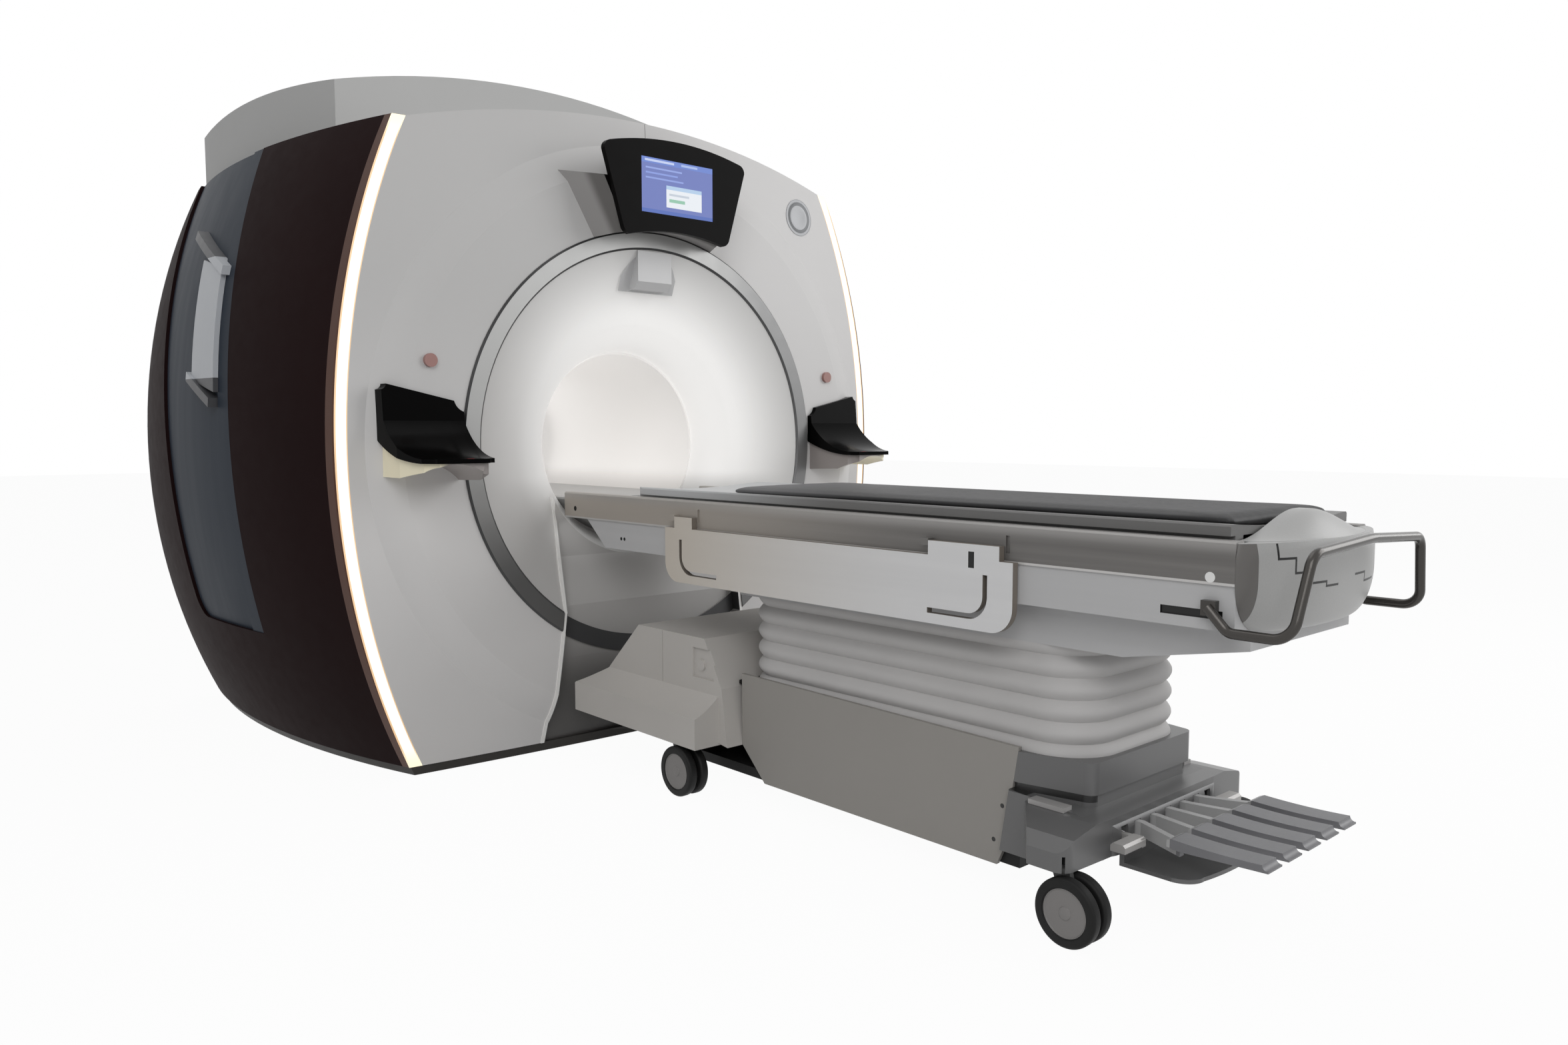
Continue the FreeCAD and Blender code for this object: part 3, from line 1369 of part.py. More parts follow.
def foot_base_cover():
    """The grey moulding at the foot: two tiers, a brim over both casters and a pedal guard."""
    joint, foot = -mm.base_joint, -mm.base_foot
    bottom, low = mm.wheel_radius * 2 + 6, mm.base_bottom + 46
    stem_y = mm.caster_trail - mm.caster_foot
    wide, reach = mm.base_half + 15, mm.caster_x + 34

    def lower_tier(inward):
        half, end, turn = wide - inward, foot + inward, 70 - inward
        bow = -turn * 0.2929
        plan = [(-half, joint + 90), (-half, end + turn, bow), (turn - half, end), (half - turn, end, bow),
                (half, end + turn), (half, joint + 90)]
        side = [(joint + 90, low), (joint + 90, 280 - inward), (foot + 34, 254 - inward, -9),
                (foot, 222 - inward), (foot, bottom), (stem_y + 74, bottom), (stem_y + 134, low)]
        return slab_z(plan, low, 306).common(slab_x(side, -FAR, FAR))

    def brim(inward):
        edge, rear = reach - inward, joint - 32 - 1.25 * inward
        corner = stem_y - 34 + inward
        bow = (inward - 34) * 0.2929
        plan = [(-wide, rear), (-edge, rear - 0.755 * (edge - wide)), (-edge, stem_y, bow),
                (-mm.caster_x, corner), (-240, foot + 6 + inward), (240, foot + 6 + inward),
                (mm.caster_x, corner, bow), (edge, stem_y), (edge, rear - 0.755 * (edge - wide)),
                (wide, rear)]
        across = [(-reach, bottom), (reach, bottom), (reach, 210 - inward), (reach - 32, 238 - inward),
                  (wide + 22, 256 - inward), (-wide - 22, 256 - inward), (32 - reach, 238 - inward),
                  (-reach, 210 - inward)]
        return slab_z(plan, bottom, 260).common(slab_y(across, -2 * FAR, 0))

    def deck_plan(inward):
        half, end, turn = mm.base_half - inward, foot + 64 + inward, 28
        slim, bow = half - 34, -turn * 0.2929
        return [(-half, joint + 90), (-half, joint), (-slim, end + turn, bow), (turn - slim, end),
                (slim - turn, end, bow), (slim, end + turn), (half, joint), (half, joint + 90)]

    def hood(inward):
        top = mm.base_deck - inward
        deck = slab_z(deck_plan(inward), 290 + inward, top)
        neck = slab_z(deck_plan(inward + 9), bottom, top)
        return deck.fuse([neck, lower_tier(inward), brim(inward)])

    wall = mm.cover_sheet - 2
    cut_line = [(joint, FAR), (joint, mm.base_deck + 10), (joint + 44, mm.base_bottom + 40),
                (joint + 44, 0), (-2 * FAR, 0), (-2 * FAR, FAR)]
    shell = hood(0).cut(hood(wall)).common(slab_x(cut_line, -FAR, FAR))
    arm_top = mm.outrigger_height + mm.arm_thickness + 2
    arms, plates = [], []
    for side in (-1, 1):
        arms.append(block(sorted((side * (mm.base_half - 40), side * (mm.caster_x + 27))),
                          (stem_y - 26, stem_y + 26), (0, arm_top)))
        arms.append(Part.makeCylinder(30, mm.outrigger_height + 1, Vector(side * mm.caster_x, stem_y, 0)))
        plates.append(block(sorted((side * (wide - 20), side * (wide + 14))),
                            (joint - 150, joint - 50), (248, 269)))
    guard = slab_z([(-196, foot + 14), (-196, foot - 118, -16), (-138, foot - 168, -12),
                    (138, foot - 168, -16), (196, foot - 118), (196, foot + 14)], bottom - 36, bottom - 26)
    apron = slab_z([(-196, foot + 2), (196, foot + 2), (196, foot + 14), (-196, foot + 14)],
                   bottom - 36, bottom + 1)
    slots = [block((x - 15, x + 15), (-2 * FAR, -mm.shaft_y - 20), (bottom - 6, mm.shaft_z + 26))
             for x in hub_places() + brake_places()]
    body = shell.fuse(plates + [apron, guard])
    return body.cut(Part.Compound(slots + arms)).removeSplitter()


def hub_places():
    middle = (mm.pedal_count - 1) / 2
    return [(index - middle) * mm.hub_pitch for index in range(mm.pedal_count)]


def brake_places():
    outer = (mm.pedal_count + 1) / 2 * mm.hub_pitch - 12
    return [-outer, outer]


keep("foot_base_cover", shaped("foot_base_cover", foot_base_cover()))


# %% Foot pedals and brake levers on the common shaft

def hub(name, x):
    """The ends of a pedal's eye, and the hole in it, on the shaft."""
    spot = (x - hub_half, -dim.shaft_y, dim.shaft_z)
    eye = rod(name + "_eye", "x", dim.shaft_radius + 9, spot, hub_half * 2)
    spot = (x - hub_half - 1, -dim.shaft_y, dim.shaft_z)
    hole = rod(name + "_hole", "x", dim.shaft_radius + dim.running_fit, spot, hub_half * 2 + 2)
    return eye, hole


middle_pedal = (dim.pedal_count - 1) / 2
for number in range(SIZES["pedal_count"]):
    name = f"pedal_{number + 1}"
    hub_x = (number - middle_pedal) * dim.hub_pitch
    slat_x = (number - middle_pedal) * dim.pedal_pitch
    eye, hole = hub(name, hub_x)
    half = dim.slat_width / 2
    slat = padded(name + "_slat", "x", (slat_x - half, slat_x + half), [
        (-dim.slat_head - dim.slat_length, dim.slat_top - 16),
        (-dim.slat_head - 30, dim.slat_top - 24), (-dim.slat_head, dim.slat_top - 20),
        (-dim.slat_head, dim.slat_top - 5), (-dim.slat_head - 12, dim.slat_top, 3),
        (-dim.slat_head - dim.slat_length + 14, dim.slat_top, 4),
        (-dim.slat_head - dim.slat_length, dim.slat_top - 12),
    ])
    arm = padded(name + "_arm", "z", (dim.shaft_z - 8, dim.slat_top - 12), [
        (hub_x - 9, -dim.shaft_y), (hub_x - 9, -dim.base_foot - 12), (slat_x - 9, -dim.slat_head - 20),
        (slat_x + 9, -dim.slat_head - 20), (hub_x + 9, -dim.base_foot - 12),
        (hub_x + 9, -dim.shaft_y),
    ])
    keep(name, cut(name, fuse(name + "_blank", eye, slat, arm), hole))

for side, word in ((-1, "left"), (1, "right")):
    name = f"brake_lever_{word}"
    lever_x = side * ((dim.pedal_count + 1) / 2 * dim.hub_pitch - 12)
    eye, hole = hub(name, lever_x)
    lever = padded(name + "_bar", "x", (lever_x - 8, lever_x + 8), [
        (-dim.shaft_y, dim.shaft_z - 8), (-dim.shaft_y, dim.shaft_z + 8),
        (-dim.base_foot - 50, dim.shaft_z + 8, 4), (-dim.base_foot - 50, dim.shaft_z - 12),
        (-dim.base_foot - 12, dim.shaft_z - 12), (-dim.base_foot - 8, dim.shaft_z - 8),
    ])
    span = sorted((lever_x - side * 8, lever_x + side * 82), key=float)
    tread = padded(name + "_tread", "x", span, [
        (-dim.base_foot - 50, dim.shaft_z - 10), (-dim.base_foot - 50, dim.shaft_z + 4),
        (-dim.base_foot - 44, dim.shaft_z + 10), (-dim.base_foot - 18, dim.shaft_z + 10),
        (-dim.base_foot - 12, dim.shaft_z + 4), (-dim.base_foot - 12, dim.shaft_z - 10),
    ])
    keep(name, cut(name, fuse(name + "_blank", eye, lever, tread), hole))


# %% Casters: a swivelling horn between twin wheels

wheel_half = dim.wheel_gap / 2
wheel_outer = wheel_half + dim.wheel_width
axle_radius = dim.stem_radius - 3


def caster_wheels(name, x, y):
    """Twin tyred wheels on one axle, turned in one piece, with a stepped hub disc outside."""
    body = doc.addObject("PartDesign::Body", name)
    sketch = sketch_on(body, "XZ_Plane", 0)
    rim = dim.wheel_radius
    draw(sketch, [
        (-wheel_outer, 0), (-wheel_outer, rim - 8), (-wheel_outer + 7, rim), (-wheel_half - 7, rim),
        (-wheel_half, rim - 8), (-wheel_half, axle_radius), (wheel_half, axle_radius),
        (wheel_half, rim - 8), (wheel_half + 7, rim), (wheel_outer - 7, rim),
        (wheel_outer, rim - 8), (wheel_outer, 0),
    ])
    revolution = body.newObject("PartDesign::Revolution", name + "_turn")
    revolution.Profile = sketch
    revolution.ReferenceAxis = (sketch, ["H_Axis"])
    revolution.Angle = 360
    place(body, x, y, dim.wheel_radius)
    return body


def caster_horn(name, x, axle_y, stem_y):
    """The horn plate between the wheels, its top cap and the stem that swivels in the chassis."""
    cheek = wheel_half - 0.3
    cap_foot = dim.outrigger_height - 12
    plate = padded(name + "_plate", "x", (x - cheek, x + cheek), [
        (axle_y - 18, dim.wheel_radius - 4, -14), (axle_y + 18, dim.wheel_radius - 4),
        (stem_y + 24, cap_foot + 1), (stem_y - 26, cap_foot + 1),
    ])
    cap = rod(name + "_cap", "z", 18, (x, stem_y, cap_foot), 11.7)
    stem = rod(name + "_stem", "z", dim.stem_radius, (x, stem_y, cap_foot),
               dim.arm_thickness + 10)
    hole = rod(name + "_axle_hole", "x", axle_radius + dim.running_fit,
               (x - cheek - 1, axle_y, dim.wheel_radius), cheek * 2 + 2)
    return cut(name, fuse(name + "_blank", plate, cap, stem), hole)


for end, axle_y, stem_y in (
    ("head", -dim.caster_head, stem_head), ("foot", -dim.caster_foot, stem_foot),
):
    for word, x in (("left", -dim.caster_x), ("right", dim.caster_x)):
        keep(f"caster_horn_{end}_{word}", caster_horn(f"horn_{end}_{word}", x, axle_y, stem_y))
        keep(f"caster_wheels_{end}_{word}", caster_wheels(f"wheels_{end}_{word}", x, axle_y))


# %% Check and export

def finish():
    doc.recompute()
    for thing in doc.Objects:
        if "Invalid" in thing.State or "Error" in thing.State:
            raise RuntimeError(f"{thing.Label} did not build: {thing.State}")
    os.makedirs("parts", exist_ok=True)
    for thing in kept:
        shape = thing.Shape
        if shape.isNull() or not shape.isValid():
            raise RuntimeError(f"{thing.Label} has no sound shape")
        shape.exportStep(f"parts/{thing.Label}.step")
        bounds = shape.BoundBox
        print(f"{thing.Label:22s} {len(shape.Solids)} {shape.Volume / 1e6:9.3f} l  "
              f"x {bounds.XMin:.0f} {bounds.XMax:.0f}  y {bounds.YMin:.0f} {bounds.YMax:.0f}  "
              f"z {bounds.ZMin:.0f} {bounds.ZMax:.0f}")


finish()
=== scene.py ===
# %% [markdown]
# # A magnetic resonance scanner and its patient table
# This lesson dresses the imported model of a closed-bore scanner. The exact solids come from the
# drawing; here they get their finishes, and the soft or rounded pieces that solids show poorly
# are modelled anew. Everything is in metres, +Z is up and the bore runs along Y.

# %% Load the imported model
import math

import bmesh
import bpy
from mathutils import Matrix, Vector


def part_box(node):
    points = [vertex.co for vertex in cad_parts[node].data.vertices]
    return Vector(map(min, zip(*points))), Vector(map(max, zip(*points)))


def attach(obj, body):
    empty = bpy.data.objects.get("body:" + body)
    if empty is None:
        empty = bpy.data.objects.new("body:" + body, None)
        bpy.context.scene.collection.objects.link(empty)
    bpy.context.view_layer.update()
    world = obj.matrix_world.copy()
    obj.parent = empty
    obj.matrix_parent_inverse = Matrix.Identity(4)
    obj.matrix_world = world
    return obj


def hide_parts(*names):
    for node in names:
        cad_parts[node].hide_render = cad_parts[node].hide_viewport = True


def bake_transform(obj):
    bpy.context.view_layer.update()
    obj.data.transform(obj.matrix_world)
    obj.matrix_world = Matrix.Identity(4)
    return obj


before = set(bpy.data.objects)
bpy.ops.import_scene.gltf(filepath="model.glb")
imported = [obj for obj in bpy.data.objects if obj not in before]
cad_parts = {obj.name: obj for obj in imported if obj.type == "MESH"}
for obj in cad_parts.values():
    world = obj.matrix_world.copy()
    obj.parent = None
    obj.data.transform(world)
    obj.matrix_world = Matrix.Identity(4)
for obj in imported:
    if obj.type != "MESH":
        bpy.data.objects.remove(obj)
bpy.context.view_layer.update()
BORE_HEIGHT = 1.1  # of the bore's axis above the floor

# %% [markdown]
# ## A finish is more than a colour
# Real paint, plastic and metal are never one flat colour: the tone drifts a little over a
# large panel, the surface has a fine grain, and the gloss varies. One helper gives every
# finish these three things. Its noise reads the object's own coordinates, in metres, so a
# grain of one millimetre stays one millimetre on every piece.

# %% A helper that makes a finish
EVEN = (1.0, 1.0, 1.0)
GRAIN_HEIGHT = 0.0006
FINISHES = []


def nodes_of(material):
    """A material's nodes and the links between them."""
    return material.node_tree.nodes, material.node_tree.links


def noise_of(material, scale, stretch=EVEN):
    """A noise in object coordinates; a stretch below 1 draws it out along that axis."""
    nodes, links = nodes_of(material)
    place = nodes.new("ShaderNodeTexCoord")
    mapping = nodes.new("ShaderNodeMapping")
    mapping.inputs["Scale"].default_value = stretch
    noise = nodes.new("ShaderNodeTexNoise")
    noise.inputs["Scale"].default_value = scale
    noise.inputs["Detail"].default_value = 3.0
    links.new(place.outputs["Object"], mapping.inputs["Vector"])
    links.new(mapping.outputs["Vector"], noise.inputs["Vector"])
    return noise.outputs["Fac"]


def finish(title, colour, rough, metal=0.0, shine=0.35, drift=0.04, drift_scale=2.5,
           streak=EVEN, grain=0.08, grain_scale=900.0, stretch=EVEN, gloss_spread=0.06):
    """A surface with a drifting tone, a fine grain and an uneven gloss.

    The drift is a share of the colour, streak draws it out, and stretch draws out the grain.
    """
    material = bpy.data.materials.new(title)
    material.use_nodes = True
    nodes, links = nodes_of(material)
    shader = nodes["Principled BSDF"]
    shader.inputs["Metallic"].default_value = metal
    shader.inputs["Specular IOR Level"].default_value = shine
    tone = nodes.new("ShaderNodeMix")
    tone.data_type = "RGBA"
    tone.inputs["A"].default_value = [c * (1 - drift) for c in colour] + [1.0]
    tone.inputs["B"].default_value = [min(1.0, c * (1 + drift)) for c in colour] + [1.0]
    links.new(noise_of(material, drift_scale, stretch=streak), tone.inputs["Factor"])
    links.new(tone.outputs["Result"], shader.inputs["Base Color"])
    gloss = nodes.new("ShaderNodeMapRange")
    gloss.inputs["To Min"].default_value = max(0.02, rough - gloss_spread)
    gloss.inputs["To Max"].default_value = min(1.0, rough + gloss_spread)
    links.new(noise_of(material, drift_scale * 8, stretch=stretch), gloss.inputs["Value"])
    links.new(gloss.outputs["Result"], shader.inputs["Roughness"])
    bump = nodes.new("ShaderNodeBump")
    bump.inputs["Strength"].default_value = grain
    bump.inputs["Distance"].default_value = GRAIN_HEIGHT
    links.new(noise_of(material, grain_scale, stretch=stretch), bump.inputs["Height"])
    links.new(bump.outputs["Normal"], shader.inputs["Normal"])
    FINISHES.append(title)
    return material


# %% [markdown]
# ## Zones on one piece
# Some moulded pieces carry more than one colour: the docking panel has a painted highlight
# along its rim, the screen has coloured fields. A mask worked out from the object's
# coordinates picks the zone, so no image is needed and the mask follows the piece wherever it
# moves.

# %% Helpers for zones
def calculate(material, operation, first, second=0.0, third=0.0):
    """One step of arithmetic; each value is a number or what another node gives."""
    nodes, links = nodes_of(material)
    step = nodes.new("ShaderNodeMath")
    step.operation = operation
    for socket, value in zip(step.inputs, (first, second, third)):
        if hasattr(value, "is_linked"):
            links.new(value, socket)
        else:
            socket.default_value = value
    return step.outputs[0]


def coordinates(material):
    """The object's own x, y and z, in metres."""
    nodes, links = nodes_of(material)
    place = nodes.new("ShaderNodeTexCoord")
    parts = nodes.new("ShaderNodeSeparateXYZ")
    links.new(place.outputs["Object"], parts.inputs["Vector"])
    return parts.outputs["X"], parts.outputs["Y"], parts.outputs["Z"]


def between(material, value, low, high):
    """A mask that is 1 where a value lies between two limits."""
    above = calculate(material, "GREATER_THAN", value, low)
    below = calculate(material, "LESS_THAN", value, high)
    return calculate(material, "MULTIPLY", above, below)


def ramp(material, value, low, high, start=0.0, stop=1.0):
    """A smooth change from one value to another between two limits."""
    nodes, links = nodes_of(material)
    change = nodes.new("ShaderNodeMapRange")
    change.interpolation_type = "SMOOTHSTEP"
    for socket, setting in (("From Min", low), ("From Max", high), ("To Min", start),
                            ("To Max", stop)):
        change.inputs[socket].default_value = setting
    links.new(value, change.inputs["Value"])
    return change.outputs["Result"]


def distance(material, first, second, centre=(0.0, 0.0)):
    """How far a spot lies from a centre, measured along two of its coordinates."""
    squares = []
    for value, middle in zip((first, second), centre):
        off = calculate(material, "SUBTRACT", value, middle)
        squares.append(calculate(material, "MULTIPLY", off, off))
    return calculate(material, "SQRT", calculate(material, "ADD", *squares))


def bore_distance(material):
    """How far a spot lies from the bore's axis."""
    x, _, z = coordinates(material)
    return distance(material, x, z, (0.0, BORE_HEIGHT))


def box_zone(material, x=None, y=None, z=None):
    """A mask that is 1 inside a box; x is measured from the middle plane to either side."""
    here = coordinates(material)
    here = (calculate(material, "ABSOLUTE", here[0]), here[1], here[2])
    mask = 1.0
    for value, span in zip(here, (x, y, z)):
        if span:
            mask = calculate(material, "MULTIPLY", between(material, value, *span), mask)
    return mask


def paint_zone(material, mask, colour, socket="Base Color"):
    """Mixes a colour over what a shader socket has already, where the mask is 1."""
    nodes, links = nodes_of(material)
    target = nodes["Principled BSDF"].inputs[socket]
    mix = nodes.new("ShaderNodeMix")
    mix.data_type = "RGBA"
    mix.inputs["B"].default_value = list(colour) + [1.0]
    if target.is_linked:
        links.new(target.links[0].from_socket, mix.inputs["A"])
    else:
        mix.inputs["A"].default_value = target.default_value
    links.new(mask, mix.inputs["Factor"])
    links.new(mix.outputs["Result"], target)


def glow(material, colour, strength):
    """Gives a finish an even light of its own."""
    shader = material.node_tree.nodes["Principled BSDF"]
    shader.inputs["Emission Color"].default_value = list(colour) + [1.0]
    shader.inputs["Emission Strength"].default_value = strength


# %% [markdown]
# ## The finishes of the scanner
# The covers are moulded or painted in a satin white, the sides in a dark brown with a blue
# inset, and the hand panels in gloss black. Each finish is named after its place.

# %% Gantry finishes
cover_white = finish("cover_white", (0.70, 0.69, 0.685), 0.44, shine=0.25, drift=0.02)
roof_white = finish("roof_white", (0.52, 0.52, 0.515), 0.50, shine=0.2, drift=0.03)
side_brown = finish("side_brown", (0.0150, 0.0070, 0.0072), 0.55, shine=0.02, drift=0.18,
                    grain=0.15, grain_scale=500.0)
inset_blue = finish("inset_blue", (0.031, 0.039, 0.053), 0.45, shine=0.05, drift=0.06,
                    stretch=(1.0, 1.0, 0.04), grain_scale=400.0)
grab_pale = finish("grab_pale", (0.52, 0.54, 0.57), 0.40, drift=0.04)
ring_metal = finish("ring_metal", (0.40, 0.40, 0.395), 0.36, metal=0.35, drift=0.06)
flare_white = finish("flare_white", (0.74, 0.735, 0.725), 0.40, shine=0.25, drift=0.02)
liner_cream = finish("liner_cream", (0.80, 0.78, 0.76), 0.40, drift=0.03)
strip_glow = finish("strip_glow", (0.60, 0.55, 0.46), 0.5, drift=0.05)
gloss_black = finish("gloss_black", (0.0016, 0.0015, 0.0015), 0.20, shine=0.03, drift=0.2,
                     grain=0.02)
monitor_black = finish("monitor_black", (0.0040, 0.0036, 0.0036), 0.24, shine=0.03, drift=0.2,
                       grain=0.02)
panel_grey = finish("panel_grey", (0.34, 0.31, 0.30), 0.36, drift=0.04)
button_red = finish("button_red", (0.36, 0.20, 0.18), 0.40)
lamp_cover = finish("lamp_cover", (0.58, 0.58, 0.585), 0.20, shine=0.5)
plinth_dark = finish("plinth_dark", (0.040, 0.037, 0.034), 0.5, shine=0.2, drift=0.1)
vessel_steel = finish("vessel_steel", (0.45, 0.45, 0.44), 0.35, metal=0.9,
                      stretch=(1.0, 0.05, 1.0), grain_scale=300.0)
coil_resin = finish("coil_resin", (0.36, 0.29, 0.18), 0.5, drift=0.15)
print("scanner finishes:", len(FINISHES))

# %% [markdown]
# ## The finishes of the table
# The table is made of beige and grey plastics between brushed rails. The rails, the boards
# and the pan have a streak far below 1 along Y, which draws their tone out along the table.

# %% Table finishes
rail_brushed = finish("rail_brushed", (0.160, 0.154, 0.148), 0.42, metal=0.35, drift=0.22,
                      drift_scale=60.0, streak=(1.0, 0.012, 1.0), grain=0.25,
                      grain_scale=350.0, stretch=(1.0, 0.02, 1.0))
guard_beige = finish("guard_beige", (0.75, 0.75, 0.755), 0.46, drift=0.05, grain=0.2,
                     drift_scale=30.0, streak=(1.0, 0.03, 1.0))
cover_beige = finish("cover_beige", (0.335, 0.32, 0.30), 0.52, drift=0.04, grain=0.3,
                     grain_scale=700.0)
pan_white = finish("pan_white", (0.52, 0.52, 0.525), 0.42, drift=0.05, drift_scale=30.0,
                   streak=(1.0, 0.03, 1.0))
hood_white = finish("hood_white", (0.53, 0.51, 0.485), 0.46, drift=0.04)
cap_grey = finish("cap_grey", (0.41, 0.41, 0.405), 0.38, drift=0.06, drift_scale=300.0,
                  grain=0.25, grain_scale=500.0)
handle_chrome = finish("handle_chrome", (0.060, 0.056, 0.052), 0.22, metal=0.6, drift=0.1)
cradle_grey = finish("cradle_grey", (0.16, 0.158, 0.155), 0.38, drift=0.06)
pad_vinyl = finish("pad_vinyl", (0.040, 0.040, 0.041), 0.50, shine=0.12, drift=0.12,
                   drift_scale=9.0, grain=0.55, grain_scale=420.0)
fold_cloth = finish("fold_cloth", (0.56, 0.55, 0.545), 0.60, shine=0.2, drift=0.05,
                    drift_scale=6.0, grain=0.35, grain_scale=600.0)
chassis_black = finish("chassis_black", (0.010, 0.010, 0.010), 0.5, shine=0.2, drift=0.2)
foot_grey = finish("foot_grey", (0.125, 0.125, 0.126), 0.33, shine=0.6, drift=0.05, grain=0.15,
                   gloss_spread=0.012)
pedal_grey = finish("pedal_grey", (0.19, 0.19, 0.20), 0.40, drift=0.15, drift_scale=12.0)
lever_cast = finish("lever_cast", (0.42, 0.41, 0.40), 0.44, metal=0.3, drift=0.08)
horn_grey = finish("horn_grey", (0.09, 0.09, 0.09), 0.45, metal=0.2, drift=0.1)
tyre_black = finish("tyre_black", (0.010, 0.010, 0.010), 0.55, shine=0.2, drift=0.2, grain=0.4)
disc_grey = finish("disc_grey", (0.26, 0.25, 0.245), 0.46, shine=0.2, drift=0.06)
print("scanner and table finishes:", len(FINISHES))

# %% [markdown]
# ## The docking panel
# The docking panel darkens towards the floor, a painted shade where the table shades it, and
# has a painted highlight along its rim. Its outline is a slant with a slight inward bow, and
# the funnel is cut to the same outline further down. The trim ring runs on across the panel
# as a dark band.

# %% Zones of the docking panel
RING_INNER, RING_OUTER = 0.720, 0.785
DOCK_FOOT, DOCK_TOP = 0.032, 0.948
DOCK_HALF_FOOT, DOCK_HALF_TOP = 0.484, 0.374
DOCK_BOW = 0.016
RIM_HIGHLIGHT_WIDTH = 0.013

dock_zones = finish("dock_zones", (0.50, 0.49, 0.48), 0.42, drift=0.04)
dock_x, _, dock_z = coordinates(dock_zones)
# Painted shade: darker towards the floor, under the table.
paint_zone(dock_zones, ramp(dock_zones, dock_z, 0.60, 0.12), (0.085, 0.081, 0.078))
ring_band = between(dock_zones, bore_distance(dock_zones), RING_INNER, RING_OUTER)
paint_zone(dock_zones, ring_band, (0.045, 0.045, 0.047))
# Painted highlight along the rim: a band just inside the panel's outline.
risen = calculate(dock_zones, "DIVIDE", calculate(dock_zones, "SUBTRACT", dock_z, DOCK_FOOT),
                  DOCK_TOP - DOCK_FOOT)
left_over = calculate(dock_zones, "SUBTRACT", 1.0, risen)
bow = calculate(dock_zones, "MULTIPLY", calculate(dock_zones, "MULTIPLY", risen, left_over),
                4 * DOCK_BOW)
slant = calculate(dock_zones, "MULTIPLY_ADD", risen, DOCK_HALF_TOP - DOCK_HALF_FOOT,
                  DOCK_HALF_FOOT - RIM_HIGHLIGHT_WIDTH)
rim_start = calculate(dock_zones, "SUBTRACT", slant, bow)
past_start = calculate(dock_zones, "SUBTRACT", calculate(dock_zones, "ABSOLUTE", dock_x),
                       rim_start)
rim_highlight_mask = calculate(dock_zones, "GREATER_THAN", past_start, 0.0)
paint_zone(dock_zones, rim_highlight_mask, (0.92, 0.91, 0.89))
print("docking panel: a rim of %.0f mm" % (RIM_HIGHLIGHT_WIDTH * 1000))

# %% [markdown]
# ## Trim ring and light strips
# The trim ring is a bright band between two thin dark lines, with painted shade at its foot
# and on the right. Each light strip follows an arc, so the distance from the arc's centre
# tells how far across the strip a spot lies: warm edges, a white middle and a dark outer
# flank. The upper and lower ends are warmer too.

# %% Zones of the ring and the strips
RING_LINES = ((0.700, 0.7265), (0.7785, 0.800))
ring_here = bore_distance(ring_metal)
for low, high in RING_LINES:
    paint_zone(ring_metal, between(ring_metal, ring_here, low, high), (0.035, 0.035, 0.036))
ring_x, _, ring_z = coordinates(ring_metal)
# Painted shade on the ring: darker towards its foot and on the right.
paint_zone(ring_metal, ramp(ring_metal, ring_z, 1.15, 0.60, 0.0, 0.75), (0.050, 0.050, 0.050))
paint_zone(ring_metal, ramp(ring_metal, ring_x, 0.10, 0.60, 0.0, 0.75), (0.15, 0.15, 0.152))

ARC_X, ARC_Z, ARC_RADIUS = -1.429, 1.096, 2.576
STRIP_EDGES = ((-0.01, 0.0035), (0.0350, 0.0405))
STRIP_FLANK = (0.0405, 0.08)
strip_x, _, strip_z = coordinates(strip_glow)
strip_side = calculate(strip_glow, "ABSOLUTE", strip_x)
strip_reach = calculate(strip_glow, "SUBTRACT", distance(
    strip_glow, strip_side, strip_z, (ARC_X, ARC_Z)), ARC_RADIUS)
glow(strip_glow, (1.0, 0.96, 0.88), 0.90)
for low, high in STRIP_EDGES:
    edge = between(strip_glow, strip_reach, low, high)
    paint_zone(strip_glow, edge, (0.62, 0.33, 0.11), "Emission Color")
from_waist = calculate(strip_glow, "ABSOLUTE", calculate(
    strip_glow, "SUBTRACT", strip_z, ARC_Z))
paint_zone(strip_glow, ramp(strip_glow, from_waist, 0.98, 1.06), (0.95, 0.86, 0.60),
           "Emission Color")
strip_flank = between(strip_glow, strip_reach, *STRIP_FLANK)
paint_zone(strip_glow, strip_flank, (0.030, 0.010, 0.004), "Emission Color")
paint_zone(strip_glow, strip_flank, (0.030, 0.012, 0.008))
print("ring lines:", len(RING_LINES), "strip edges:", len(STRIP_EDGES))

# %% [markdown]
# ## The light in the bore
# The funnel and the liner glow with painted light from inside: the glow is strongest at the
# throat, fades towards the ring and is weaker low down on the left. Below the cradle there is
# none. Away from the bore, painted shade darkens the lower left.

# %% Painted light and shade of the funnel and the liner
def lit_from_inside(material, far, near, strength, even):
    """A painted glow near the bore, fading outwards; even is the least share, at the lower left.
    """
    glow(material, (1.0, 0.985, 0.97), strength)
    nodes, links = nodes_of(material)
    across, _, upward = coordinates(material)
    lean = calculate(material, "MULTIPLY_ADD", across, 0.6, calculate(
        material, "MULTIPLY", calculate(material, "SUBTRACT", upward, BORE_HEIGHT), 0.8))
    fade = ramp(material, bore_distance(material), far, near, 0.0, strength)
    fade = calculate(material, "MULTIPLY", fade, ramp(material, lean, -0.5, 0.5, even, 1.0))
    fade = calculate(material, "MULTIPLY", fade, ramp(material, upward, 0.90, 1.00))
    links.new(fade, nodes["Principled BSDF"].inputs["Emission Strength"])
    # Painted shade at the lower left, away from the bore.
    shade = calculate(material, "MULTIPLY", ramp(material, lean, 0.30, -0.55),
                      ramp(material, bore_distance(material), 0.42, 0.56))
    paint_zone(material, shade, (0.56, 0.55, 0.54))


lit_from_inside(flare_white, 0.78, 0.37, 0.46, 0.30)
lit_from_inside(liner_cream, 0.60, 0.20, 0.42, 0.95)
print("lit pieces: funnel and liner")
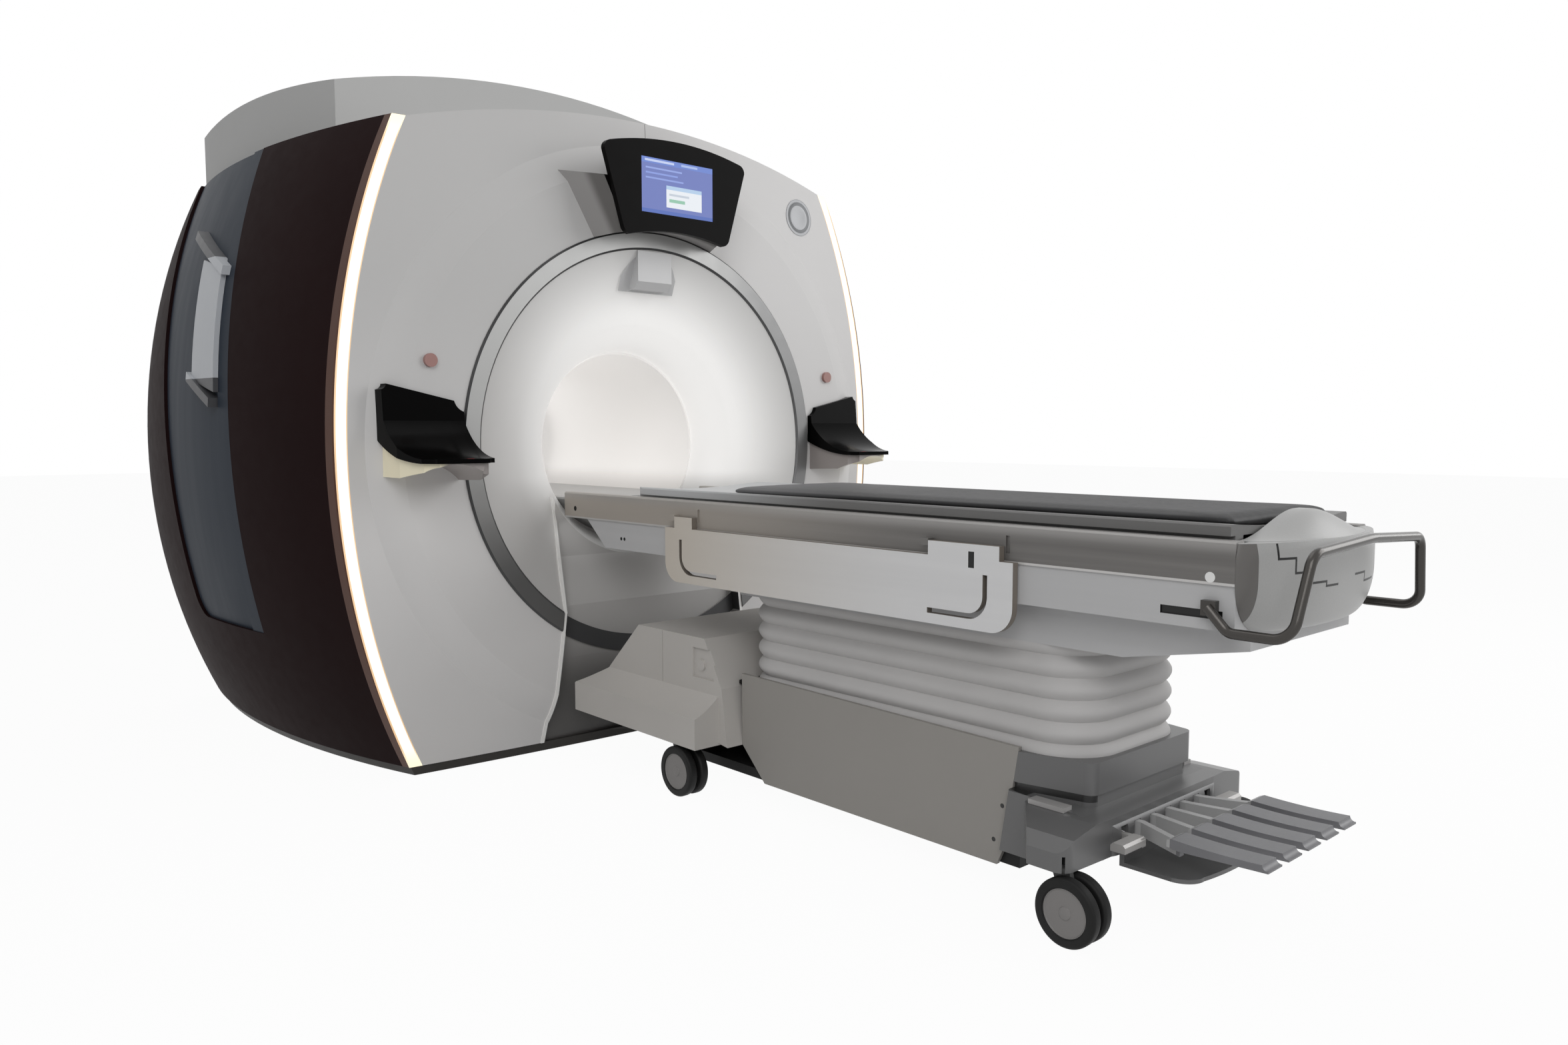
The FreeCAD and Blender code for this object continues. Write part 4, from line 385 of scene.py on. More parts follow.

# %% [markdown]
# ## Smaller zones of the gantry
# The covers carry painted shade at the upper left. The monitor stands on a grey neck with
# painted shade towards the bezel, each hand panel has a red spot, which on the right panel is
# a painted warm highlight, the housings below have a painted warm highlight at their outer
# ends, and the grab bars have dark ends.

# %% Zones of covers, monitor neck, hand panels and grab bars
cover_x, _, cover_z = coordinates(cover_white)
# Painted shade at the upper left of the covers.
upper_left_shade = calculate(cover_white, "MULTIPLY", ramp(cover_white, cover_x, 0.3, -0.6),
                       ramp(cover_white, cover_z, 0.8, 1.7))
paint_zone(cover_white, upper_left_shade, (0.55, 0.545, 0.54))
neck = box_zone(monitor_black, y=(-1.0265, -0.5))
paint_zone(monitor_black, neck, (0.36, 0.35, 0.345))
# Painted shade on the neck, darker towards the bezel.
towards_bezel = ramp(monitor_black, coordinates(monitor_black)[1], -0.955, -0.990, 0.0, 0.8)
neck_shade = calculate(monitor_black, "MULTIPLY", towards_bezel, neck)
paint_zone(monitor_black, neck_shade, (0.12, 0.115, 0.11))
# A red spot on the left panel; the same spot on the right panel is a painted warm highlight.
red_spot_and_highlight = box_zone(gloss_black, (0.868, 0.890), (-1.150, -1.136), (1.0, 1.14))
paint_zone(gloss_black, red_spot_and_highlight, (0.40, 0.02, 0.03))
# Painted highlight: a warm cream glint on the housings' outer ends.
panel_side = calculate(panel_grey, "ABSOLUTE", coordinates(panel_grey)[0])
paint_zone(panel_grey, ramp(panel_grey, panel_side, 0.950, 0.990), (1.0, 0.93, 0.70))
GRAB_ENDS = ((1.20, 1.335), (1.765, 1.90))
for ends in GRAB_ENDS:
    paint_zone(grab_pale, box_zone(grab_pale, z=ends), (0.060, 0.061, 0.066))
print("dark ends on each grab bar:", len(GRAB_ENDS))

# %% [markdown]
# ## Marks on the table
# Latches, screws and slots are small marks at fixed spots. Each is a zone in the coordinates
# of the piece it belongs to, so it moves with that piece. The rails, the cradle and the pad
# are painted paler towards the scanner, and the boards warmer, as painted light where the
# scanner lights them. The rails carry painted highlights along their top and bottom edges,
# and the boards painted shade everywhere but on their outer face.

# %% Marks on rails, boards, pan and covers
BLACK_MARK = (0.006, 0.006, 0.006)
SCREW_DARK = (0.03, 0.03, 0.03)
RAIL_SIDE = (0.345, 0.4)
BOARD_SLOT = (-2.686, -2.668)


def dot(material, y, z, radius, colour):
    """A round mark on both outer sides of the table."""
    _, along, upward = coordinates(material)
    away = distance(material, along, upward, (y, z))
    paint_zone(material, calculate(material, "LESS_THAN", away, radius), colour)


for span_y, span_z in (((-2.640, -2.624), (0.862, 0.906)), (BOARD_SLOT, (0.82, 0.852))):
    paint_zone(rail_brushed, box_zone(rail_brushed, RAIL_SIDE, span_y, span_z), BLACK_MARK)
paint_zone(guard_beige, box_zone(guard_beige, None, BOARD_SLOT, (0.820, 0.86)), BLACK_MARK)
# Painted light: each piece is painted paler, the boards warmer, towards the lit scanner.
PAINTED_LIGHT_TOWARDS_SCANNER = (
    (rail_brushed, -2.60, -1.15, 0.95, (0.46, 0.42, 0.375)),
    (guard_beige, -2.60, -1.15, 0.95, (0.58, 0.52, 0.44)),
    (cradle_grey, -2.2, -1.35, 1.0, (0.54, 0.55, 0.56)),
    (pad_vinyl, -2.3, -1.35, 1.0, (0.20, 0.20, 0.205)),
)
for material, start, stop, most, pale in PAINTED_LIGHT_TOWARDS_SCANNER:
    along = coordinates(material)[1]
    paint_zone(material, ramp(material, along, start, stop, 0.0, most), pale)
rail_z = coordinates(rail_brushed)[2]
# Painted highlights along the rail's top edge and its bottom edge.
paint_zone(rail_brushed, ramp(rail_brushed, rail_z, 0.895, 0.925, 0.0, 0.6), (0.40, 0.39, 0.38))
paint_zone(rail_brushed, between(rail_brushed, rail_z, 0.82, 0.8435), (0.56, 0.55, 0.54))
# Painted shade on the boards' grooves and inner faces, all but their outer face.
guard_face = -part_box("side_guard_left")[0].x
paint_zone(guard_beige, box_zone(guard_beige, x=(0.0, guard_face - 0.001)), (0.20, 0.175, 0.15))
dot(rail_brushed, -3.277, 0.853, 0.011, (0.75, 0.75, 0.74))
dot(rail_brushed, -0.857, 0.872, 0.009, BLACK_MARK)
hand_slot = box_zone(pan_white, (0.315, 0.4), (-3.304, -3.165), (0.766, 0.784))
paint_zone(pan_white, hand_slot, BLACK_MARK)
for spot in (-1.141, -1.160):
    dot(pan_white, spot, 0.781, 0.006, BLACK_MARK)
for y, z in ((-2.721, 0.220), (-2.696, 0.128)):
    dot(cover_beige, y, z, 0.006, SCREW_DARK)
print("pieces that grow paler towards the scanner:", len(PAINTED_LIGHT_TOWARDS_SCANNER))

# %% [markdown]
# ## Foot cap, foot base and pedals
# The cap's ends are darker: a rail-coloured rim, darkened further as painted shade. Stepped
# joint lines run across its face: each line is a row of straight strokes between two corners.
# The foot base has a dark slot, painted shade in the gap above its ledge, with a pale lip, and
# the pedals' arms are paler than their treads.

# %% Zones of the foot end
STROKE_HALF = 0.0025
LATCH_LINES = [
    [(-0.250, 0.922), (-0.250, 0.893), (-0.205, 0.893), (-0.205, 0.862), (-0.165, 0.862),
     (-0.165, 0.838), (-0.100, 0.838), (-0.100, 0.828), (-0.050, 0.828)],
    [(0.040, 0.842), (0.100, 0.842), (0.100, 0.822), (0.180, 0.822)],
]
cap_x, _, cap_z = coordinates(cap_grey)
# The cap's ends: a rail-coloured rim, with painted shade.
cap_end_rim_and_shade = calculate(cap_grey, "GREATER_THAN", calculate(cap_grey, "ABSOLUTE", cap_x), 0.293)
cap_end_rim_and_shade = calculate(cap_grey, "MULTIPLY", box_zone(cap_grey, z=(0.70, 0.925)), cap_end_rim_and_shade)
paint_zone(cap_grey, cap_end_rim_and_shade, (0.14, 0.134, 0.128))
for line in LATCH_LINES:
    for (x0, z0), (x1, z1) in zip(line, line[1:]):
        stroke = calculate(
            cap_grey, "MULTIPLY",
            between(cap_grey, cap_x, min(x0, x1) - STROKE_HALF, max(x0, x1) + STROKE_HALF),
            between(cap_grey, cap_z, min(z0, z1) - STROKE_HALF, max(z0, z1) + STROKE_HALF))
        paint_zone(cap_grey, stroke, BLACK_MARK)
# Painted shade in the gap between the foot base's upper tier and its ledge.
foot_gap_shade = box_zone(foot_grey, (0.2, 0.35), (-3.0, -2.7), (0.2695, 0.2905))
slot_lip = box_zone(foot_grey, (0.264, 0.300), (-2.919, -2.817), (0.2575, 0.2705))
pedal_arms = box_zone(pedal_grey, None, (-3.150, -2.9))
paint_zone(foot_grey, foot_gap_shade, (0.016, 0.016, 0.016))
paint_zone(foot_grey, slot_lip, (0.40, 0.39, 0.385))
paint_zone(pedal_grey, pedal_arms, (0.42, 0.42, 0.42))
print("joint lines on the cap:", len(LATCH_LINES))

# %% [markdown]
# ## Putting finishes on the solids
# A solid keeps its mesh; only its material slots change. A table of node names and
# finishes keeps this readable and shows at once if a piece was forgotten.

# %% Give each solid its finish
FINISH_OF = {
    "base_frame": plinth_dark, "bore_liner": liner_cream, "gradient_coil": coil_resin,
    "magnet_vessel": vessel_steel, "service_turret": vessel_steel, "bore_track": cap_grey,
    "dock_panel": dock_zones, "front_flare": flare_white, "trim_ring": ring_metal,
    "front_cover_left": cover_white, "front_cover_right": cover_white,
    "light_strip_left": strip_glow, "light_strip_right": strip_glow,
    "side_cover_left": side_brown, "side_cover_right": side_brown,
    "side_inset_left": inset_blue, "side_inset_right": inset_blue, "grab_bars": grab_pale,
    "roof_panel": roof_white, "top_cover": roof_white, "rear_cover": cover_white,
    "monitor_housing": monitor_black, "alignment_light": lamp_cover,
    "panel_fascia_left": gloss_black, "panel_fascia_right": gloss_black,
    "panel_housing_left": panel_grey, "panel_housing_right": panel_grey,
    "stop_button_left": button_red, "stop_button_right": button_red,
    "side_rail_left": rail_brushed, "side_rail_right": rail_brushed,
    "side_guard_left": guard_beige, "side_guard_right": guard_beige,
    "top_frame": pan_white, "foot_cap": cap_grey, "push_handle": handle_chrome,
    "cradle": cradle_grey, "cradle_pad": pad_vinyl, "chassis": chassis_black,
    "lower_cover_left": cover_beige, "lower_cover_right": cover_beige,
    "bellows": fold_cloth, "head_base_cover": hood_white, "foot_base_cover": foot_grey,
}
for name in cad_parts:
    if name.startswith("pedal"):
        FINISH_OF[name] = pedal_grey
    elif name.startswith("brake"):
        FINISH_OF[name] = lever_cast
    elif name.startswith("caster_horn"):
        FINISH_OF[name] = horn_grey
    elif name.startswith("caster_wheels"):
        FINISH_OF[name] = tyre_black


def dress(thing, material):
    """Puts one finish in all of a piece's material slots."""
    if not thing.material_slots:
        thing.data.materials.append(material)
    for slot in thing.material_slots:
        slot.material = material


for name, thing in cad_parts.items():
    if name in FINISH_OF:
        dress(thing, FINISH_OF[name])
    elif name != "monitor_screen":
        print("no finish yet for", name)
print("solids with a finish:", len(FINISH_OF))

# %% [markdown]
# ## The monitor's picture
# The screen is a plate with a picture made of plain fields: a blue ground, a paler head
# line, a few rows and one pale window. Each field is a rectangle in the plate's own x and z.

# %% Fields on the screen
screen_low, screen_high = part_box("monitor_screen")
screen_light = finish("screen_light", (0.010, 0.013, 0.030), 0.25, shine=0.1, drift=0.1)
glow(screen_light, (0.165, 0.205, 0.480), 1.0)
screen_x, _, screen_z = coordinates(screen_light)
FIELDS = [
    ((0.00, 1.00), (0.90, 1.00), (0.16, 0.24, 0.60)),
    ((0.05, 0.45), (0.93, 0.97), (0.55, 0.62, 0.85)),
    ((0.55, 0.78), (0.93, 0.97), (0.40, 0.50, 0.80)),
    ((0.06, 0.56), (0.80, 0.83), (0.30, 0.38, 0.74)),
    ((0.06, 0.50), (0.71, 0.74), (0.26, 0.34, 0.72)),
    ((0.06, 0.58), (0.62, 0.65), (0.28, 0.36, 0.72)),
    ((0.00, 1.00), (0.00, 0.07), (0.10, 0.16, 0.46)),
    ((0.34, 0.84), (0.14, 0.54), (0.80, 0.83, 0.86)),
    ((0.34, 0.84), (0.47, 0.54), (0.45, 0.60, 0.78)),
    ((0.38, 0.66), (0.36, 0.40), (0.55, 0.60, 0.66)),
    ((0.38, 0.60), (0.24, 0.30), (0.30, 0.55, 0.40)),
]


def part_way(low, high, share):
    """The value at a share of the way from one limit to the other."""
    return low + (high - low) * share


for across, upward, colour in FIELDS:
    column = between(screen_light, screen_x,
                     *(part_way(screen_low.x, screen_high.x, share) for share in across))
    row = between(screen_light, screen_z,
                  *(part_way(screen_low.z, screen_high.z, share) for share in upward))
    field = calculate(screen_light, "MULTIPLY", column, row)
    paint_zone(screen_light, field, colour, "Emission Color")
dress(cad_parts["monitor_screen"], screen_light)
print("screen fields:", len(FIELDS))

# %% [markdown]
# ## Building pieces by hand
# Round pieces are turned: a profile of (radius, along) points is swept round an axis.
# Others are rows of points joined into a sheet. Both helpers make plain meshes, smooth,
# with edges left sharp where the surface turns by more than a set angle.

# %% Helpers for meshes
def smooth(mesh):
    """Shades every face smoothly."""
    for face in mesh.polygons:
        face.use_smooth = True


def piece_from(name, points, faces, material, sharp=35.0):
    """A smooth piece, with sharp edges where the surface turns by more than an angle."""
    mesh = bpy.data.meshes.new(name)
    mesh.from_pydata([tuple(point) for point in points], [], faces)
    mesh.validate()
    mesh.update()
    smooth(mesh)
    mesh.set_sharp_from_angle(angle=math.radians(sharp))
    piece = bpy.data.objects.new(name, mesh)
    bpy.context.scene.collection.objects.link(piece)
    mesh.materials.append(material)
    return piece


def face_outwards(piece, merge=0.0):
    """Joins points closer than a merge distance and turns every face outwards."""
    mesh = bmesh.new()
    mesh.from_mesh(piece.data)
    if merge:
        bmesh.ops.remove_doubles(mesh, verts=mesh.verts, dist=merge)
    bmesh.ops.recalc_face_normals(mesh, faces=mesh.faces)
    mesh.to_mesh(piece.data)
    mesh.free()


def sheet_of_rows(rows, wrap=False):
    """Faces that join closed rows of points; the last row may join the first."""
    count = len(rows[0])
    points = [point for row in rows for point in row]
    faces = []
    for here in range(len(rows) if wrap else len(rows) - 1):
        first = here * count
        second = (here + 1) % len(rows) * count
        for spot in range(count):
            after = (spot + 1) % count
            faces.append((first + spot, first + after, second + after, second + spot))
    return points, faces


def turned(name, profile, centre, axis, material, steps=96, loop=False, sharp=35.0):
    """A profile of (radius, along) points swept round an axis through the centre."""
    along = Vector(axis).normalized()
    side = along.orthogonal().normalized()
    other = along.cross(side)
    rows = []
    for radius, reach in profile:
        row = []
        for step in range(steps):
            angle = 2 * math.pi * step / steps
            spoke = side * math.cos(angle) + other * math.sin(angle)
            row.append(Vector(centre) + along * reach + spoke * radius)
        rows.append(row)
    points, faces = sheet_of_rows(rows, wrap=loop)
    piece = piece_from(name, points, faces, material, sharp)
    face_outwards(piece, merge=1e-6)
    piece.data.set_sharp_from_angle(angle=math.radians(sharp))
    return piece


# %% [markdown]
# ## The bellows
# A lift table hides its column in a sleeve of soft folds. The solid has sharp folds; the
# real ones are round bulges with tight valleys, so the sleeve is rebuilt as rows of points
# round a rectangle with large corners.

# %% Bellows sleeve
sleeve_low, sleeve_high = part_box("bellows")
FOLDS = 5
ROWS_PER_FOLD = 14
FOLD_DEPTH = 0.017
SLEEVE_CORNER = 0.140


def rounded_rectangle(low, high, corner, inward, z, per_corner=14, per_side=10):
    """Points round a rectangle with quarter-round corners, moved in by a distance."""
    x0, x1, y0, y1 = low.x + inward, high.x - inward, low.y + inward, high.y - inward
    turn = corner - inward
    centres = [(x1 - turn, y1 - turn, 0), (x0 + turn, y1 - turn, 90),
               (x0 + turn, y0 + turn, 180), (x1 - turn, y0 + turn, 270)]
    corners = []
    for x, y, start in centres:
        bend = []
        for step in range(per_corner + 1):
            angle = math.radians(start + 90 * step / per_corner)
            bend.append(Vector((x + turn * math.cos(angle), y + turn * math.sin(angle), z)))
        corners.append(bend)
    points = []
    for index, bend in enumerate(corners):
        points.extend(bend)
        following = corners[(index + 1) % 4][0]
        for step in range(1, per_side):
            points.append(bend[-1].lerp(following, step / per_side))
    return points


sleeve_rows = []
for level in range(FOLDS * ROWS_PER_FOLD + 1):
    share = level / (FOLDS * ROWS_PER_FOLD)
    bulge = abs(math.cos(math.pi * share * FOLDS)) ** 0.9
    z = sleeve_low.z + (sleeve_high.z - sleeve_low.z) * share
    sleeve_rows.append(rounded_rectangle(
        sleeve_low, sleeve_high, SLEEVE_CORNER, FOLD_DEPTH * (1 - bulge), z))
points, faces = sheet_of_rows(sleeve_rows)
sleeve = piece_from("bellows_sleeve", points, faces, fold_cloth, sharp=70.0)
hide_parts("bellows")
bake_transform(sleeve)
print("bellows: %d folds over %.0f mm" % (FOLDS, (sleeve_high.z - sleeve_low.z) * 1000))

# %% [markdown]
# ## The mattress
# The pad on the cradle is foam in coated fabric. Cloth under a little pressure finds the
# right crown by itself: the solid is remeshed into even squares, blown up softly for twenty
# steps without gravity, and every point is kept from moving too far.

# %% Mattress
PAD_SQUARE = 0.008
PAD_PRESSURE = 4.0
PAD_REACH = 0.006
PAD_CROWN = 0.004
FOAM_STEPS = 20
pad_low, pad_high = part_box("cradle_pad")


def copy_of(node, name, material):
    """A copy of a solid's mesh as a piece of its own."""
    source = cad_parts[node]
    piece = bpy.data.objects.new(name, source.data.copy())
    bpy.context.scene.collection.objects.link(piece)
    piece.data.materials.clear()
    piece.data.materials.append(material)
    return piece


def apply_modifiers(piece):
    """Makes the shape that the modifiers give the piece's own mesh."""
    graph = bpy.context.evaluated_depsgraph_get()
    mesh = bpy.data.meshes.new_from_object(piece.evaluated_get(graph))
    old = piece.data
    piece.modifiers.clear()
    piece.data = mesh
    bpy.data.meshes.remove(old)


def plump(piece, voxel, pressure, reach, low, high):
    """Blows a closed form up like foam in its cover, each point by no more than a reach."""
    remesh = piece.modifiers.new("even_squares", "REMESH")
    remesh.mode = "VOXEL"
    remesh.voxel_size = voxel
    apply_modifiers(piece)
    before = [vertex.co.copy() for vertex in piece.data.vertices]
    cloth = piece.modifiers.new("foam", "CLOTH")
    cloth.settings.use_pressure = True
    cloth.settings.uniform_pressure_force = pressure
    cloth.settings.effector_weights.gravity = 0
    cloth.settings.quality = 4
    for number in range(1, FOAM_STEPS + 1):
        bpy.context.scene.frame_set(number)
    apply_modifiers(piece)
    bpy.context.scene.frame_set(1)
    for vertex, start in zip(piece.data.vertices, before):
        move = vertex.co - start
        if move.length > reach:
            vertex.co = start + move.normalized() * reach
        for axis in range(3):
            vertex.co[axis] = min(max(vertex.co[axis], low[axis]), high[axis])
    soften = piece.modifiers.new("soften", "SMOOTH")
    soften.factor = 0.5
    soften.iterations = 4
    apply_modifiers(piece)
    smooth(piece.data)


mattress = copy_of("cradle_pad", "mattress", pad_vinyl)
plump(mattress, PAD_SQUARE, PAD_PRESSURE, PAD_REACH, pad_low,
      pad_high + Vector((0, 0, PAD_CROWN)))
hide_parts("cradle_pad")
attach(mattress, "cradle_body")
print("mattress faces:", len(mattress.data.polygons))

# %% [markdown]
# ## The lit funnel
# Between the trim ring and the bore lies a smooth bell. It is turned from a curve that
# leaves the ring almost flat and rolls into the bore.

# %% Funnel round the bore
flare_low, flare_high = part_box("front_flare")
THROAT = 0.462
BORE_RADIUS = 0.358
LIP_DEPTH = 0.112
LIP_STEPS, BELL_STEPS = 8, 16
DISH = 0.006
WALL = 0.012
BELL_CURVE = 2.1
FUNNEL_SHARP = 28.0
face_y = flare_low.y
bell_end = flare_high.y


def bell_profile():
    """The funnel's section: a slightly dished lip, a bell that rolls in, and its back."""
    edge = RING_INNER - 0.0005
    profile = [(edge, face_y + WALL), (edge, face_y)]
    for step in range(1, LIP_STEPS + 1):
        share = step / LIP_STEPS
        dish = DISH * math.sin(math.pi * share)
        profile.append((RING_INNER + (THROAT - RING_INNER) * share,
                        face_y + LIP_DEPTH * share + dish))
    for step in range(1, BELL_STEPS + 1):
        share = step / BELL_STEPS
        profile.append((BORE_RADIUS + (THROAT - BORE_RADIUS) * (1 - share) ** BELL_CURVE,
                        face_y + LIP_DEPTH + (bell_end - face_y - LIP_DEPTH) * share))
    profile.append((BORE_RADIUS + 0.011, bell_end))
    profile.append((THROAT + 0.004, face_y + LIP_DEPTH + WALL))
    return profile


funnel = turned("bore_funnel", bell_profile(), (0, 0, BORE_HEIGHT), (0, 1, 0), flare_white,
                steps=180, loop=True, sharp=FUNNEL_SHARP)

# %% [markdown]
# ## The funnel's foot
# The docking panel stands in the funnel's foot. A block with the panel's outline is cut out
# of the funnel, so that neither runs through the other.

# %% Cut the funnel's foot to the docking panel
CUT_LOW, CUT_HIGH = 0.30, 0.913
CUT_FRONT, CUT_BACK = -1.2, -0.7615
CUT_STEPS = 12


def prism(name, outline, y_start, y_stop):
    """A block with an (x, z) outline between two values of y."""
    count = len(outline)
    points = [(x, y_start, z) for x, z in outline] + [(x, y_stop, z) for x, z in outline]
    faces = [tuple(reversed(range(count))), tuple(range(count, 2 * count))]
    faces += [(i, (i + 1) % count, (i + 1) % count + count, i + count) for i in range(count)]
    piece = piece_from(name, points, faces, flare_white)
    face_outwards(piece)
    return piece


def dock_half(z):
    """Half the docking panel's width at a height: a slant with a slight inward bow."""
    share = (z - DOCK_FOOT) / (DOCK_TOP - DOCK_FOOT)
    slanted = DOCK_HALF_FOOT + (DOCK_HALF_TOP - DOCK_HALF_FOOT) * share
    return slanted - 4 * DOCK_BOW * share * (1 - share)


heights = [CUT_LOW + (CUT_HIGH - CUT_LOW) * step / CUT_STEPS for step in range(CUT_STEPS + 1)]
right_edge = [(dock_half(z), z) for z in heights]
left_edge = [(-x, z) for x, z in reversed(right_edge)]
cutter = prism("dock_cutter", right_edge + left_edge, CUT_FRONT, CUT_BACK)
subtract = funnel.modifiers.new("dock_cut", "BOOLEAN")
subtract.operation = "DIFFERENCE"
subtract.object = cutter
subtract.solver = "EXACT"
apply_modifiers(funnel)
bpy.data.objects.remove(cutter)
smooth(funnel.data)
funnel.data.set_sharp_from_angle(angle=math.radians(FUNNEL_SHARP))
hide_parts("front_flare")
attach(funnel, "gantry")
print("funnel faces:", len(funnel.data.polygons))

# %% [markdown]
# ## The foot cap
# The table ends in a rounded cap. It is built in level rows: each row bows out to the foot
# end, the lower corners turn in, and the topmost rows round the upper edge.

# %% Foot cap
cap_low, cap_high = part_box("foot_cap")
CAP_TOP = 0.926
CAP_BACK = cap_high.y
CAP_REACH = cap_high.y - cap_low.y
CAP_ROWS, CORNER_ROWS, EDGE_ROWS = 32, 16, 8
CORNER_HEIGHT, CORNER_INWARD = 0.110, 0.105
EDGE_INWARD = 0.008
END_DEPTH = 0.0015


def level_row(half, reach, z, back, steps=40):
    """One closed row: a bow to the front between two ends, then straight along the back."""
    row = []
    for step in range(steps + 1):
        share = -math.cos(math.pi * step / steps)
        bow = (1 - abs(share) ** 2.4) ** 0.8
        row.append((half * share, CAP_BACK - END_DEPTH - (reach - END_DEPTH) * bow, z))
    row += [(half * (1 - 2 * step / steps), back, z) for step in range(steps + 1)]
    return row


def stacked(name, rows, material):
    """A closed piece from level rows, with a lid on the lowest and the topmost."""
    points, faces = sheet_of_rows(rows)
    count = len(rows[0])
    faces.append(tuple(range(count)))
    faces.append(tuple(reversed(range(len(points) - count, len(points)))))
    piece = piece_from(name, points, faces, material, sharp=40.0)
    face_outwards(piece, merge=1e-5)
    return piece


cap_rows = []
for step in range(CAP_ROWS + 1):
    turn_in = math.radians(90 * max(0.0, 1 - step / CORNER_ROWS))
    over = math.radians(90 * max(0.0, (step - (CAP_ROWS - EDGE_ROWS)) / EDGE_ROWS))
    if step <= CORNER_ROWS:
        z = cap_low.z + CORNER_HEIGHT * (1 - math.sin(turn_in))
    else:
        upright = CAP_TOP - cap_low.z - CORNER_HEIGHT
        z = cap_low.z + CORNER_HEIGHT + upright * (step - CORNER_ROWS) / (CAP_ROWS - CORNER_ROWS)
    turned_in, turned_over = 1 - math.cos(turn_in), 1 - math.cos(over)
    half = cap_high.x - CORNER_INWARD * turned_in - EDGE_INWARD * turned_over
    reach = CAP_REACH * (1 - 0.45 * turned_in - 0.06 * turned_over)
    cap_rows.append(level_row(half, reach, z, CAP_BACK - 0.0002))
cap_shell = stacked("foot_cap_shell", cap_rows, cap_grey)

# %% [markdown]
# ## The crown of the cap
# A low crown on the cap meets the mattress. Its rows shrink towards a ridge as they rise.

# %% Crown
CROWN_HALF = 0.275
CROWN_STEPS = 16
CROWN_BACK = -3.3045
CROWN_EDGE, CROWN_REACH = 0.004, 0.078
crown_rows = []
for step in range(CROWN_STEPS + 1):
    rise = math.sin(math.radians(90 * step / CROWN_STEPS)) ** 2
    half = CROWN_HALF * (2 / math.pi) * math.acos(math.sqrt(rise) * 0.995)
    crown_rows.append(level_row(half, CROWN_EDGE + CROWN_REACH * (1 - rise) ** 0.6,
                                CAP_TOP + (cap_high.z - CAP_TOP) * rise, CROWN_BACK))
crown = stacked("foot_cap_crown", crown_rows, cap_grey)
for piece in (cap_shell, crown):
    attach(piece, "tabletop")
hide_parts("foot_cap")
print("cap faces:", len(cap_shell.data.polygons), "crown faces:", len(crown.data.polygons))

# %% [markdown]
# ## Casters
# A twin caster has two round-shouldered tyres with a flat grey disc in each. The solid is
# one plain turning for both wheels, so tyres and discs are turned here with rounded
# shoulders and stepped discs.

# %% Tyres and discs
SHOULDER_BEND = 0.008
BETWEEN_TYRES = 0.0073
TYRE_SIDE_ROOM, TYRE_RIM_ROOM = 0.0003, 0.0002


def arc(centre_radius, centre_reach, bend, start, stop, steps=5):
    """Points of a rounded shoulder in (radius, along)."""
    points = []
    for step in range(steps + 1):
        angle = math.radians(start + (stop - start) * step / steps)
        points.append((centre_radius + bend * math.sin(angle),
                       centre_reach + bend * math.cos(angle)))
    return points


def tyre_profile(inner, outer, rim):
    """One tyre from its inner to its outer face, along the axle."""
    bend = SHOULDER_BEND
    profile = [(rim - 0.026, inner)]
    profile += arc(rim - bend, inner + bend, bend, 180, 90)
    profile += arc(rim - bend, outer - bend, bend, 90, 0)
    profile += [(rim - 0.0205, outer), (rim - 0.022, outer - 0.0022), (rim - 0.026, outer - 0.003)]
    return profile


def disc_profile(outer, rim):
    """A disc with a stepped edge and a small raised hub."""
    face = outer - 0.0035
    return [(rim - 0.0222, face - 0.008), (rim - 0.0222, face), (rim - 0.0255, face + 0.001),
            (rim - 0.0275, face - 0.0015), (rim - 0.050, face - 0.0022), (0.016, face - 0.0022),
            (0.0145, face), (0.011, face + 0.001), (0.0, face + 0.0012)]


turned_pairs = 0
for end in ("head", "foot"):
    for word in ("left", "right"):
        node = f"caster_wheels_{end}_{word}"
        low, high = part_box(node)
        centre = (low + high) / 2
        rim = (high.z - low.z) / 2
        half = (high.x - low.x) / 2
        rows = tyre_profile(BETWEEN_TYRES, half - TYRE_SIDE_ROOM, rim - TYRE_RIM_ROOM)
        for turn, side in ((-1, "in"), (1, "out")):
            tyre = turned(f"tyre_{end}_{word}_{side}", rows, centre,
                          (turn, 0, 0), tyre_black, steps=72, loop=True)
            disc = turned(f"disc_{end}_{word}_{side}",
                          disc_profile(half, rim), centre, (turn, 0, 0), disc_grey, steps=72)
            for piece in (tyre, disc):
                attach(piece, f"wheels_{end}_{word}")
        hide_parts(node)
        turned_pairs += 1
print("caster wheels turned:", turned_pairs, "pairs")

# %% [markdown]
# ## The round badge
# A plain round badge sits high on the right cover. It is turned from a low stepped profile.
# A ray from the front finds the spot and the slope of the domed cover, so that the badge's
# foot is buried and its face stands proud.

